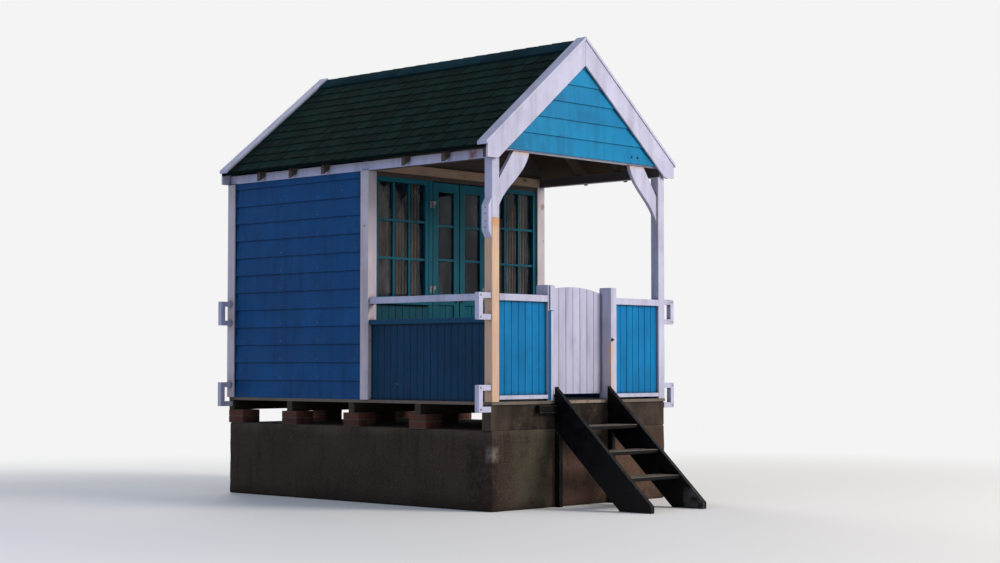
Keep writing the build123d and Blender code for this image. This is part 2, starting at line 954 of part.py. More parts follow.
def step_treads():
    inner = stairs_width / 2 - stringer_thick
    treads = []
    for number in range(1, tread_count + 1):
        top = deck_top - number * step_rise
        nosing = (top - stringer_tip) / stair_slope + nosing_setback
        tread = block(-inner, inner, nosing, nosing + tread_depth, top - tread_thick, top)
        front_edges = tread.edges().filter_by(Axis.X).group_by(Axis.Y)[0]
        treads.append(fillet(front_edges, rail_round))
    return treads


def step_supports():
    """Legs under the stringers' heads, and the short batten on the kerb beside the left one."""
    x1 = stairs_width / 2
    lower = stringer_top(0) - stringer_drop
    points = [
        (-step_leg_depth, 0),
        (0, 0),
        (0, lower),
        (-step_leg_depth, stringer_top(-step_leg_depth) - stringer_drop),
    ]
    legs = pair(cut_along(points, x1 - stringer_thick, x1))
    top = bearer_top - bearer_width / 6
    foot = top - batten_height
    batten = block(-x1 - batten_length, -x1, -batten_thick, kerb_setback, foot, top)
    return legs + [batten]


# All nodes, by name


hut = {
    "plinth": [plinth()],
    "front_kerb": [front_kerb()],
    "brick_piers": brick_piers(),
    "bearers": bearers(),
    "veranda_deck": [floor_boards(0, cabin_front)],
    "cabin_floor": [floor_boards(cabin_front, hut_depth)],
    "front_left_post_lower": [corner_post(-half_width, deck_top, deck_top + splice_height)],
    "front_left_post_upper": [corner_post(-half_width, deck_top + splice_height, plate_foot)],
    "post_splice_plate": [splice_plate()],
    "front_right_post": [corner_post(post_inner, deck_top, plate_foot)],
    "gate_posts": pair(gate_post()),
    "gate_post_cleat": [gate_post_cleat()],
    "front_rails": front_rails(),
    "front_panels": front_panels(),
    "side_rails": side_rail_solids(),
    "side_panels": side_panels(),
    "knee_braces": pair(knee_brace()),
    "wall_plates": wall_plates(),
    "front_tie_beam": [front_tie_beam()],
    "front_gable_boards": [front_gable_boards()],
    "bargeboards": bargeboards(),
    "barge_cappings": cappings(),
    "rafters": rafters(),
    "ridge_board": ridge_boards(),
    "roof_right": [roof_slope()],
    "roof_left": [mirrored(roof_slope())],
    "ridge_strip": [ridge_strip()],
    "cabin_front_gable": [cabin_front_gable()],
    "cabin_head_beam": [cabin_head_beam()],
    "cabin_front_posts": cabin_front_posts(),
    "cabin_front_aprons": cabin_front_aprons(),
    "cabin_side_walls": cabin_side_walls(),
    "rear_wall": [rear_wall()],
    "corner_trims": corner_trims(),
    "window_sills": window_sills(),
    "window_frames": pair(window_frame()),
    "window_glass": window_glass(),
    "curtain_rods": pair(curtain_rod()),
    "curtains": curtains(),
    "door_hinge_plates": [half for solid in door_hinges(door_hinge_fixed) for half in pair(solid)],
    "right_door_leaf": [door_leaf()],
    "right_door_glass": [door_glass()],
    "right_door_hinges": door_hinges(door_hinge_moving),
    "left_door_leaf": [mirrored(door_leaf())],
    "left_door_glass": [mirrored(door_glass())],
    "left_door_hinges": [mirrored(solid) for solid in door_hinges(door_hinge_moving)],
    "gate_boards": [gate_boards()],
    "gate_ledges": [gate_ledges()],
    "gate_hinge_bands": [gate_band(z) for z in band_heights],
    "gate_hinge_hooks": [gate_hook(z) for z in band_heights],
    "loop_arms": loop_arms(),
    "loop_uprights": loop_uprights(),
    "step_stringers": pair(stringer()),
    "step_treads": step_treads(),
    "step_supports": step_supports(),
}

rear_reach = hut_depth + barge_thick + capping_lip
to_frame = Pos(0, -(stringer_front + rear_reach) / 2, 0)

for name, solids in hut.items():
    pieces = [solid for shape in solids for solid in shape.solids()]
    node = pieces[0] if len(pieces) == 1 else Compound(pieces)
    export_step(to_frame * node, f"parts/{name}.step")
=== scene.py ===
import math
import random

import bpy
from mathutils import Matrix, Vector


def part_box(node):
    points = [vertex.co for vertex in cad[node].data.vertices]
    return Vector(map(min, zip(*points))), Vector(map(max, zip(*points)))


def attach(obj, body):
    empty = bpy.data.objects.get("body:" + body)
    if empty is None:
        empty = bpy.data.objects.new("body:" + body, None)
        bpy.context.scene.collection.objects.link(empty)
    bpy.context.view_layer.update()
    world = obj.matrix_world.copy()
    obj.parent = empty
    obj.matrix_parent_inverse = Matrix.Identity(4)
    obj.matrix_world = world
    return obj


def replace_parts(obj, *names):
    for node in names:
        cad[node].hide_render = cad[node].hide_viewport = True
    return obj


# A painted timber beach hut on its concrete plinth. The frame's own measure is metres, with
# +Z up, +Y from the veranda to the back and the ground at z = 0. Places on the hut are given
# to at() in millimetres, with y counted from the front face of the veranda's posts.

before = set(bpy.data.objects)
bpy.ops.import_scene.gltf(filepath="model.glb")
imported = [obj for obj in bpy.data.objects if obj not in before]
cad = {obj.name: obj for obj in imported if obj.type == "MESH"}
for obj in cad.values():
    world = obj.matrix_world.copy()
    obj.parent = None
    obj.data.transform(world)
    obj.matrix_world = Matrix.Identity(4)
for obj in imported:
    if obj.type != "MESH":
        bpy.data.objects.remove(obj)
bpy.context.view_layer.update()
chance = random.Random(39)

front_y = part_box("front_right_post")[0][1]
eave, _, roof_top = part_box("roof_right")[1]
deck_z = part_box("veranda_deck")[1][2]
plinth_low, plinth_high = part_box("plinth")

# Roof covering, in millimetres
ROOF_PITCH = math.radians(39)
ROOF_START, ROOF_END = 70, 3570
RIDGE_REACH = 125
FIRST_COURSE = 131
COURSES, COURSE_STEP = 11, 6
TABS = 22
TAB_PITCH, TAB_GAP = 160, 6
TAB_THICK, TAB_SUNK = 5, 2
TAB_OVERRUN = 2
TAB_CORNER = 42
STRAY = 1.5
CAP_LENGTH, CAP_THICK = 190, 4
CAP_STEP, CAP_LIFT = 168, 6

# How far felt lies askew, in degrees
TAB_ASKEW = 0.5
CAP_TILT, CAP_ASKEW = 1.2, 0.4

# Boards, in millimetres: how far apart their joints lie. Of the lapped ones also their number,
# how thick they are at their lower edge and how much they lose up to the next lap.
PANEL_BOARD = 91.4
SIDE_BOARD = 87.5
GATE_BOARD = 99.25
WALL_BOARDS, WALL_LAP, WALL_THICK, WALL_STEP = 12, 174, 70, 14
GABLE_BOARDS, GABLE_LAP, GABLE_THICK, GABLE_STEP = 5, 165, 20, 11

# The inner faces of the lapped walls, and how deep the bargeboards hide the gable
SIDE_WALL, REAR_WALL = 1150, 3590
BARGE_DEPTH = 215

# Brick piers, in millimetres. Each leads its bearer's front by a little.
BRICK = (105.5, 220, 57)
BRICK_PITCH, BRICK_COURSE, BRICK_PROUD = 114, 65, 2.5
PIER_SIDE, PIER_FOOT = 215, 711
PIER_LEFT_SIDES = (-1220, -107.5, 1005)
BEARERS, BEARER_PITCH, PIER_LEAD = 4, 896.25, 70
HUT_DEPTH = 3660

# Curtains: the outer and inner edge of each in millimetres, and how they hang, in metres. The
# full part is the share of the width that doesn't sag.
CURTAIN_EDGES = ((446, 768), (1104, 782), (-446, -768), (-1104, -782))
PLEATS = 8
FULL_PART = 0.25
SAG, SCALLOP, SHIVER = 0.42, 0.006, 0.004
FOLD, FOLD_GROWTH = 0.0125, 0.005

# Round heads of the fixings: radius and height in millimetres. Then how far nails sit over a
# board's lower edge, and how far off their stud's middle.
NAIL = (4, 1.2)
GABLE_BOLT = (11, 5)
LOOP_BOLT = (9, 4)
SPLICE_BOLT = (8, 3.5)
STRINGER_BOLT = (10, 4)
WALL_NAIL_RISE, GABLE_NAIL_RISE, NAIL_STRAY = 34, 30, 6

# The studio, in metres
HUT_MIDDLE = Vector((0, -0.6, 2.0))
FLOOR_SIZE, FLOOR_DROP = 200, 0.002
FADE_START, FADE_END = 4.5, 11.0
BACKGROUND = "#f4f4f4"

# Real sizes of what the surfaces show, in millimetres
BRUSH_MARK = 4
FLAKE = 30
RAIN_RUN = 90
DIRT_PATCH = 420
GRAIN = 9
KNOT = 60
DRY_STREAK = 160
TAR_CLOUD = 110
GRANULE = 7
LICHEN = 190
CEMENT_CLOUD = 620
SAND = 26
AGGREGATE = 16
GRIT = 11
MOSS = 330
STAIN_RUN = 70
BRICK_GRIT = 12
SOOT = 120
MORTAR_SAND = 8
SPANGLE = 10
RUST_SPOT = 22
SALT_HAZE = 170
SUN_FADE = 240
THREAD = 6
STAINED_KNOT = 85
BRACE_FLAKE = 40


def at(x, y, z):
    """A place on the hut in the frame's metres."""
    return Vector((x / 1000, front_y + y / 1000, z / 1000))


# Modelling by hand


def only(piece):
    """Leaves this piece alone selected and active."""
    bpy.ops.object.select_all(action="DESELECT")
    piece.select_set(True)
    bpy.context.view_layer.objects.active = piece
    return piece


def settled(name):
    """Names the new primitive, and puts its place, turn and size into its mesh."""
    piece = only(bpy.context.object)
    piece.name = name
    bpy.ops.object.transform_apply(location=True, rotation=True, scale=True)
    return piece


def squared(name, low, high):
    """A squared blank between two corners, given in metres."""
    bpy.ops.mesh.primitive_cube_add(size=1, location=(low + high) / 2, scale=high - low)
    return settled(name)


def turned(name, foot, facing, profile, sides=20):
    """A piece turned about a line: from its foot, steps of advance and radius in millimetres."""
    first = profile[0][1] / 1000
    bpy.ops.mesh.primitive_circle_add(vertices=sides, radius=first, fill_type="NGON")
    piece = bpy.context.object
    bpy.ops.object.mode_set(mode="EDIT")
    bpy.ops.mesh.select_all(action="SELECT")
    height, radius = 0.0, first
    for advance, wider in profile[1:]:
        step = advance / 1000
        bpy.ops.mesh.extrude_region_move(TRANSFORM_OT_translate={"value": (0, 0, step)})
        height += step
        ratio = wider / 1000 / radius
        bpy.ops.transform.resize(value=(ratio, ratio, 1), center_override=(0, 0, height))
        radius = wider / 1000
    bpy.ops.mesh.select_all(action="SELECT")
    bpy.ops.mesh.normals_make_consistent(inside=False)
    bpy.ops.object.mode_set(mode="OBJECT")
    piece.location = foot
    piece.rotation_euler = Vector(facing).to_track_quat("Z", "Y").to_euler()
    return settled(name)


def edit_where(piece, kind, wanted):
    """Opens the piece in edit mode with the faces or edges selected that wanted() picks."""
    only(piece)
    bpy.ops.object.mode_set(mode="EDIT")
    bpy.ops.mesh.select_mode(type=kind)
    bpy.ops.mesh.select_all(action="DESELECT")
    bpy.ops.object.mode_set(mode="OBJECT")
    points = piece.data.vertices
    parts = piece.data.polygons if kind == "FACE" else piece.data.edges
    for part in parts:
        part.select = wanted([points[number].co for number in part.vertices])
    bpy.ops.object.mode_set(mode="EDIT")


def applied(piece, kind, **settings):
    """Finishes the piece with one modifier, applied at once."""
    only(piece)
    modifier = piece.modifiers.new(kind.title(), kind)
    for key, value in settings.items():
        setattr(modifier, key, value)
    bpy.ops.object.modifier_apply(modifier=modifier.name)
    return piece


def softened(piece, width_mm, segments=2):
    """Rounds the sharp edges of the piece."""
    return applied(piece, "BEVEL", width=width_mm / 1000, segments=segments, limit_method="ANGLE")


def repeated(piece, place):
    """The piece once more, with its own mesh, put where a matrix says."""
    twin = piece.copy()
    twin.data = piece.data.copy()
    twin.data.transform(place)
    bpy.context.collection.objects.link(twin)
    return twin


def toned(piece, value):
    """Keeps a value from 0 to 1 with the piece, by which its material varies."""
    layer = piece.data.attributes.new("tone", "FLOAT", "POINT")
    layer.data.foreach_set("value", [value] * len(piece.data.vertices))
    return piece


def gathered(name, pieces):
    """Finished solids that touch nothing of each other, as one piece."""
    bpy.ops.object.select_all(action="DESELECT")
    for piece in pieces:
        piece.select_set(True)
    bpy.context.view_layer.objects.active = pieces[0]
    bpy.ops.object.join()
    pieces[0].name = name
    pieces[0].data.name = name
    return pieces[0]


def scrapped(piece):
    """Takes away a blank that was there to be copied."""
    bpy.data.objects.remove(piece, do_unlink=True)


def fitted(piece, finish, body, crease=30):
    """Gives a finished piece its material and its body."""
    only(piece)
    bpy.ops.object.shade_smooth_by_angle(angle=math.radians(crease))
    piece.data.materials.clear()
    piece.data.materials.append(finish)
    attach(piece, body)
    return piece


# Making materials


def linear(code):
    """An sRGB hex colour as linear values."""
    parts = [int(code[place:place + 2], 16) / 255 for place in (1, 3, 5)]
    return [c / 12.92 if c <= 0.04045 else ((c + 0.055) / 1.055) ** 2.4 for c in parts] + [1.0]


def add(tree, kind, *values, **settings):
    """One node. The settings are its properties. The values fill its inputs in order, or by name
    from one dictionary. Each is a number, a hex colour, an output, or a node for its first
    output."""
    node = tree.nodes.new("ShaderNode" + kind)
    for key, value in settings.items():
        setattr(node, key, value)
    if values and isinstance(values[0], dict):
        filled = [(node.inputs[key], value) for key, value in values[0].items()]
    else:
        filled = list(zip([socket for socket in node.inputs if socket.enabled], values))
    for socket, value in filled:
        if isinstance(value, str):
            value = linear(value)
        if isinstance(value, bpy.types.Node):
            value = next(output for output in value.outputs if output.enabled)
        if isinstance(value, bpy.types.NodeSocket):
            tree.links.new(value, socket)
        elif value is not None:
            socket.default_value = value
    return node


def new_finish(name, **constants):
    """A new material, its tree and shader, and the place on the piece that patterns follow. The
    constants are set on the shader's own inputs."""
    material = bpy.data.materials.new(name)
    material.use_nodes = True
    tree = material.node_tree
    tree.nodes.clear()
    shader = add(tree, "BsdfPrincipled")
    for key, value in constants.items():
        shader.inputs[key.replace("_", " ")].default_value = value
    add(tree, "OutputMaterial", shader)
    return material, tree, shader, add(tree, "TexCoord").outputs["Object"]


def drive(tree, shader, **inputs):
    """Links the results to the inputs of the shader that carry their names."""
    for key, node in inputs.items():
        output = next(output for output in node.outputs if output.enabled)
        tree.links.new(output, shader.inputs[key.replace("_", " ")])


def marks(tree, place, size, low, high, most=1.0, run=(1, 1, 1), detail=5, rough=0.6, shift=0.0):
    """Random marks of a real size in millimetres, none below low and full above high. They are
    longer along the axes where run is more than 1."""
    scale = [1000 / size / length for length in run]
    moved = add(tree, "Mapping", place, (shift, 1.7 * shift, -shift), (0, 0, 0), scale)
    pattern = add(tree, "TexNoise", moved, 1.0, detail, rough)
    return add(tree, "MapRange", pattern, low, high, 0.0, most, interpolation_type="SMOOTHSTEP")


def lengthwise(axis, length):
    """The run of marks that lie along one axis."""
    return tuple(length if name == axis else 1 for name in "XYZ")


def worn_edges(tree, reach, low=0.06, high=0.3):
    """1 on sharp outer edges, within a reach in millimetres, and 0 on the flats."""
    rounded = add(tree, "Bevel", reach / 1000, samples=6)
    flat = add(tree, "NewGeometry").outputs["Normal"]
    match = add(tree, "VectorMath", rounded, flat, operation="DOT_PRODUCT").outputs["Value"]
    return add(tree, "MapRange", match, 1 - low, 1 - high, 0.0, 1.0)


def corner_shade_and_dirt(tree, reach, most):
    """Painted shade and dirt: darker towards corners and under laps, within a reach in millimetres.
    """
    open_sky = add(tree, "AmbientOcclusion", None, reach / 1000, samples=6).outputs["AO"]
    return add(tree, "MapRange", open_sky, 0.95, 0.35, 0.0, most, interpolation_type="SMOOTHSTEP")


def each_board(tree, place, axis, pitch, start):
    """A random value for each board, counted along one axis. The pitch is in millimetres, the
    start in metres."""
    along = add(tree, "SeparateXYZ", place).outputs[axis]
    moved = add(tree, "Math", along, start, operation="SUBTRACT")
    count = add(tree, "Math", moved, pitch / 1000, operation="DIVIDE")
    number = add(tree, "Math", count, operation="FLOOR")
    return add(tree, "TexWhiteNoise", number, noise_dimensions="1D").outputs["Value"]


def inside_box(tree, place, low, high, soft):
    """1 inside a box given by two corners, falling to 0 within a soft edge in millimetres."""
    moved = add(tree, "VectorMath", place, (low + high) / 2, operation="SUBTRACT")
    away = add(tree, "VectorMath", moved, operation="ABSOLUTE")
    beyond = add(tree, "VectorMath", away, (high - low) / 2, operation="SUBTRACT")
    parts = add(tree, "SeparateXYZ", beyond).outputs
    wider = add(tree, "Math", parts[0], parts[1], operation="MAXIMUM")
    widest = add(tree, "Math", wider, parts[2], operation="MAXIMUM")
    return add(tree, "MapRange", widest, -soft / 2000, soft / 2000, 1.0, 0.0)


def painted_over(material, amount_of, code):
    """Lays one more colour over a finish. amount_of(tree, place) says how much, from 0 to 1."""
    tree = material.node_tree
    shader = tree.nodes["Principled BSDF"]
    place = tree.nodes["Texture Coordinate"].outputs["Object"]
    under = shader.inputs["Base Color"].links[0].from_socket
    over = add(tree, "Mix", amount_of(tree, place), under, code, data_type="RGBA")
    drive(tree, shader, Base_Color=over)


# Materials


def gloss_paint(name, paint, shade, grain, boards=None, wear="#8e867e", gloss=0.4):
    """Softwood under brushed gloss paint. It gives the eye a soft broken sheen with brush marks
    along the grain, darker rain runs, dirt and painted shade in its corners, and bare undercoat on
    its edges."""
    material, tree, shader, place = new_finish(name, Specular_IOR_Level=0.12)
    faded = marks(tree, place, DIRT_PATCH, 0.35, 0.7, 0.6)
    colour = add(tree, "Mix", faded, paint, shade, data_type="RGBA")
    if boards:
        tone = each_board(tree, place, *boards)
        share = add(tree, "Math", tone, 0.4, operation="MULTIPLY")
        colour = add(tree, "Mix", share, colour, shade, data_type="RGBA")
    runs = marks(tree, place, RAIN_RUN, 0.4, 0.8, 0.4, lengthwise("Z", 9), 5)
    colour = add(tree, "Mix", runs, colour, "#a39a8e", data_type="RGBA", blend_type="MULTIPLY")
    # Painted shade and dirt: darker in corners and under laps
    corners = corner_shade_and_dirt(tree, 45, 0.75)
    colour = add(tree, "Mix", corners, colour, "#5f5750", data_type="RGBA", blend_type="MULTIPLY")
    edges = worn_edges(tree, 4)
    scuffs = marks(tree, place, FLAKE, 0.5, 0.62, 0.8, lengthwise(grain, 3), 6, 0.65, 3.1)
    rubbed = add(tree, "Math", edges, scuffs, operation="MULTIPLY")
    flakes = marks(tree, place, FLAKE, 0.69, 0.72, 0.7, lengthwise(grain, 3), 7, 0.7, 7.7)
    bare = add(tree, "Math", rubbed, flakes, operation="MAXIMUM")
    colour = add(tree, "Mix", bare, colour, wear, data_type="RGBA")
    brush = marks(tree, place, BRUSH_MARK, 0.25, 0.75, 1.0, lengthwise(grain, 45), 2)
    fibre = marks(tree, place, GRAIN, 0.2, 0.8, 1.0, lengthwise(grain, 28), 4)
    rough = add(tree, "MapRange", brush, 0.0, 1.0, gloss - 0.06, gloss + 0.12)
    rough = add(tree, "Math", rough, bare, operation="MAXIMUM")
    relief = add(tree, "Math", brush, fibre, operation="ADD")
    relief = add(tree, "Math", relief, bare, operation="SUBTRACT")
    bump = add(tree, "Bump", {"Height": relief, "Distance": 0.0002, "Strength": 0.9})
    drive(tree, shader, Base_Color=colour, Roughness=rough, Normal=bump)
    return material


def sawn_timber(name, pale, dark, grain, age, grey="#6a655e"):
    """Softwood without paint, as sawn: dry and matt, with dark growth lines and a few knots
    along the grain, turning grey where the weather reaches it."""
    material, tree, shader, place = new_finish(name, Roughness=0.68, Specular_IOR_Level=0.25)
    lines = marks(tree, place, GRAIN, 0.36, 0.68, 0.75, lengthwise(grain, 26), 6)
    colour = add(tree, "Mix", lines, pale, dark, data_type="RGBA")
    broad = marks(tree, place, DRY_STREAK, 0.35, 0.75, 0.4, lengthwise(grain, 5), 2)
    colour = add(tree, "Mix", broad, colour, dark, data_type="RGBA")
    knots = marks(tree, place, KNOT, 0.72, 0.77, 0.75, lengthwise(grain, 2), 1, 0.5, 11.3)
    colour = add(tree, "Mix", knots, colour, "#4a2d1b", data_type="RGBA")
    weathered = marks(tree, place, DIRT_PATCH, 0.25, 0.7, age)
    colour = add(tree, "Mix", weathered, colour, grey, data_type="RGBA")
    # Painted shade and dirt: darker in corners
    corners = corner_shade_and_dirt(tree, 40, 0.5)
    colour = add(tree, "Mix", corners, colour, "#1f1a17", data_type="RGBA")
    bump = add(tree, "Bump", {"Height": lines, "Distance": 0.0009, "Strength": 0.8})
    drive(tree, shader, Base_Color=colour, Normal=bump)
    return material


def tarred_timber(name, trodden):
    """Rough timber under old black tar paint: almost no colour and a dull sheen, with grey wood
    showing on its edges and, on treads, where feet have worn it."""
    material, tree, shader, place = new_finish(name, Specular_IOR_Level=0.12)
    cloud = marks(tree, place, TAR_CLOUD, 0.35, 0.75, 0.7, detail=6)
    colour = add(tree, "Mix", cloud, "#040406", "#0f0f12", data_type="RGBA")
    fibre = marks(tree, place, GRAIN, 0.15, 0.65, 1.0, lengthwise("X", 20), 5)
    scuffs = marks(tree, place, FLAKE, 0.4, 0.56, 1.0, detail=6, shift=2.2)
    rubbed = add(tree, "Math", worn_edges(tree, 11), scuffs, operation="MULTIPLY")
    if trodden:
        facing = add(tree, "SeparateXYZ", add(tree, "NewGeometry").outputs["Normal"]).outputs["Z"]
        top = add(tree, "MapRange", facing, 0.2, 0.8, 0.0, 0.9)
        feet = add(tree, "Math", top, fibre, operation="MULTIPLY")
        rubbed = add(tree, "Math", rubbed, feet, operation="MAXIMUM")
    colour = add(tree, "Mix", rubbed, colour, "#7b7168", data_type="RGBA")
    rough = add(tree, "MapRange", cloud, 0.0, 0.7, 0.4, 0.66)
    bump = add(tree, "Bump", {"Height": fibre, "Distance": 0.0008, "Strength": 0.8})
    drive(tree, shader, Base_Color=colour, Roughness=rough, Normal=bump)
    return material


def mineral_felt(name, dark, light, lichen):
    """Bitumen felt faced with mineral granules: matt and grainy, each tab a slightly other
    green-black, with paler lichen where rain stays."""
    material, tree, shader, place = new_finish(name, Roughness=0.9, Specular_IOR_Level=0.05)
    moved = add(tree, "Mapping", {"Vector": place, "Scale": [1000 / GRANULE] * 3})
    grains = add(tree, "TexVoronoi", moved, 1.0)
    tone = add(tree, "Attribute", attribute_name="tone").outputs["Fac"]
    colour = add(tree, "Mix", tone, dark, light, data_type="RGBA")
    speck = add(tree, "MapRange", grains, 0.2, 0.8, 0.0, 0.35)
    colour = add(tree, "Mix", speck, colour, light, data_type="RGBA")
    growth = marks(tree, place, LICHEN, 0.56, 0.74, 0.55, detail=7, rough=0.68)
    colour = add(tree, "Mix", growth, colour, lichen, data_type="RGBA")
    # Painted shade and dirt: darker in corners and under the tabs' edges
    corners = corner_shade_and_dirt(tree, 14, 0.6)
    colour = add(tree, "Mix", corners, colour, "#05090a", data_type="RGBA")
    bump = add(tree, "Bump", {"Height": grains, "Distance": 0.0016, "Strength": 0.7})
    drive(tree, shader, Base_Color=colour, Normal=bump)
    return material


def cast_concrete(name, body, stain):
    """Shuttered concrete in sea weather: matt and sandy, with pale salt in a band under its
    upper edge, brown rain runs and a damp dark foot. Heights are in metres."""
    material, tree, shader, place = new_finish(name, Roughness=0.9, Specular_IOR_Level=0.12)
    broad = marks(tree, place, CEMENT_CLOUD, 0.3, 0.72, 1.0, detail=6)
    colour = add(tree, "Mix", broad, body, "#2f2620", data_type="RGBA")
    sand = marks(tree, place, SAND, 0.35, 0.75, 0.55, detail=8, rough=0.72)
    colour = add(tree, "Mix", sand, colour, "#4c4139", data_type="RGBA")
    moved = add(tree, "Mapping", {"Vector": place, "Scale": [1000 / AGGREGATE] * 3})
    stones = add(tree, "TexVoronoi", moved, 1.0)
    pits = add(tree, "MapRange", stones, 0.05, 0.3, 0.65, 0.0)
    colour = add(tree, "Mix", pits, colour, "#1a1510", data_type="RGBA")
    grit = marks(tree, place, GRIT, 0.5, 0.72, 0.5, detail=3, rough=0.8, shift=6.4)
    colour = add(tree, "Mix", grit, colour, "#776a5d", data_type="RGBA")
    moss = marks(tree, place, MOSS, 0.56, 0.72, 0.5, lengthwise("Z", 1.6), 6, shift=5.5)
    colour = add(tree, "Mix", moss, colour, "#3a3b2d", data_type="RGBA")
    height = add(tree, "SeparateXYZ", place).outputs["Z"]
    kerb_top = 0.95
    under_edge = add(tree, "MapRange", height, 0.1, kerb_top, 0.25, 0.8)
    runs = marks(tree, place, STAIN_RUN, 0.5, 0.74, 1.0, lengthwise("Z", 11), 5, shift=1.4)
    rusty = add(tree, "Math", runs, under_edge, operation="MULTIPLY")
    colour = add(tree, "Mix", rusty, colour, stain, data_type="RGBA")
    ragged = add(tree, "Math", broad, -0.09, operation="MULTIPLY")
    level = add(tree, "Math", height, ragged, operation="ADD")
    band = (0.57, 0.68)
    washed = add(tree, "MapRange", level, *band, 0.0, 0.45, interpolation_type="SMOOTHSTEP")
    colour = add(tree, "Mix", washed, colour, "#5d534a", data_type="RGBA")
    foot = (-0.06, 0.1)
    damp = add(tree, "MapRange", level, *foot, 0.7, 0.0, interpolation_type="SMOOTHSTEP")
    colour = add(tree, "Mix", damp, colour, "#211b17", data_type="RGBA")
    chipped = add(tree, "Math", worn_edges(tree, 14), 0.5, operation="MULTIPLY")
    colour = add(tree, "Mix", chipped, colour, "#6c6157", data_type="RGBA")
    relief = add(tree, "Math", sand, stones, operation="ADD")
    relief = add(tree, "Math", relief, grit, operation="ADD")
    bump = add(tree, "Bump", {"Height": relief, "Distance": 0.003, "Strength": 1.0})
    drive(tree, shader, Base_Color=colour, Normal=bump)
    return material


def fired_brick(name):
    """Common fired brick: matt and gritty, each from another part of the kiln."""
    material, tree, shader, place = new_finish(name, Roughness=0.87, Specular_IOR_Level=0.2)
    tone = add(tree, "Attribute", attribute_name="tone").outputs["Fac"]
    colour = add(tree, "Mix", tone, "#62392d", "#412a23", data_type="RGBA")
    grit = marks(tree, place, BRICK_GRIT, 0.5, 0.75, 0.5, detail=7, rough=0.7)
    colour = add(tree, "Mix", grit, colour, "#7f5b4b", data_type="RGBA")
    soot = marks(tree, place, SOOT, 0.5, 0.7, 0.5)
    colour = add(tree, "Mix", soot, colour, "#2d2320", data_type="RGBA")
    bump = add(tree, "Bump", {"Height": grit, "Distance": 0.0015, "Strength": 0.8})
    drive(tree, shader, Base_Color=colour, Normal=bump)
    return material


def lime_mortar(name):
    """Sandy mortar between the bricks: pale, rough, no sheen."""
    material, tree, shader, place = new_finish(name, Roughness=0.93, Specular_IOR_Level=0.1)
    sand = marks(tree, place, MORTAR_SAND, 0.3, 0.7, 1.0, detail=6, rough=0.7)
    colour = add(tree, "Mix", sand, "#6b6258", "#463e37", data_type="RGBA")
    bump = add(tree, "Bump", {"Height": sand, "Distance": 0.0012})
    drive(tree, shader, Base_Color=colour, Normal=bump)
    return material


def dull_steel(name, bright, dull, rusted):
    """Steel fittings gone dull in salt air: soft grey metal with spangles and brown rust."""
    material, tree, shader, place = new_finish(name)
    spangle = marks(tree, place, SPANGLE, 0.35, 0.65, 1.0, detail=3)
    colour = add(tree, "Mix", spangle, bright, dull, data_type="RGBA")
    low, high = 0.62 - rusted, 0.7 - rusted
    rust = marks(tree, place, RUST_SPOT, low, high, 1.0, detail=7, rough=0.7, shift=8.2)
    colour = add(tree, "Mix", rust, colour, "#6b3a20", data_type="RGBA")
    metal = add(tree, "MapRange", rust, 0.0, 1.0, 0.95, 0.05)
    rough = add(tree, "MapRange", rust, 0.0, 1.0, 0.45, 0.86)
    bump = add(tree, "Bump", {"Height": rust, "Distance": 0.0004})
    drive(tree, shader, Base_Color=colour, Metallic=metal, Roughness=rough, Normal=bump)
    return material


def float_glass(name):
    """Thin float glass in front of a dim room: clear and dark, with salt haze and dust."""
    material, tree, shader, place = new_finish(name, IOR=1.5)
    haze = marks(tree, place, SALT_HAZE, 0.45, 0.8, 1.0, lengthwise("Z", 2.5), 6, 0.65)
    colour = add(tree, "Mix", haze, "#121c22", "#56656e", data_type="RGBA")
    cover = add(tree, "MapRange", haze, 0.0, 1.0, 0.3, 0.5)
    rough = add(tree, "MapRange", haze, 0.0, 1.0, 0.03, 0.22)
    drive(tree, shader, Base_Color=colour, Alpha=cover, Roughness=rough)
    return material


def curtain_cotton(name):
    """Plain-woven cotton bleached by the sun: soft and matt, with painted shade in its folds. The
    threads are drawn coarser than they are, so that the weave shows."""
    material, tree, shader, place = new_finish(name, Roughness=0.92, Sheen_Weight=0.25)
    faded = marks(tree, place, SUN_FADE, 0.3, 0.7, 1.0, detail=4)
    colour = add(tree, "Mix", faded, "#b8a795", "#8f7d6e", data_type="RGBA")
    # Painted shade: darker in the folds
    folds = corner_shade_and_dirt(tree, 30, 0.5)
    colour = add(tree, "Mix", folds, colour, "#4c3f37", data_type="RGBA")
    moved = add(tree, "Mapping", {"Vector": place, "Scale": [1000 / THREAD] * 3})
    weave = add(tree, "TexWave", moved, 1.0)
    bump = add(tree, "Bump", {"Height": weave, "Distance": 0.0003, "Strength": 0.5})
    drive(tree, shader, Base_Color=colour, Normal=bump)
    return material


def from_edge(axis, pitch, node):
    """The boards of a node: the axis that counts them, their pitch, and where the first starts."""
    return axis, pitch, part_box(node)[0]["XYZ".index(axis)]


WHITE, WHITE_SHADE = "#c2c3d9", "#aaaac3"
TURQUOISE, TURQUOISE_SHADE = "#007bb4", "#006497"
NAVY, NAVY_SHADE = "#0d4f85", "#093c68"
MIDNIGHT, MIDNIGHT_SHADE = "#063a5a", "#042c44"
OLD_WOOD, OLD_SHADE, OLD_GREY = "#5d4c3f", "#3c3029", "#4c4641"
DULL = 0.52

gate_joints = from_edge("X", GATE_BOARD, "gate_boards")
panel_joints = from_edge("X", PANEL_BOARD, "front_panels")
side_joints = from_edge("Y", SIDE_BOARD, "side_panels")
gable_laps = from_edge("Z", GABLE_LAP, "front_gable_boards")
wall_laps = ("Z", WALL_LAP, deck_z)

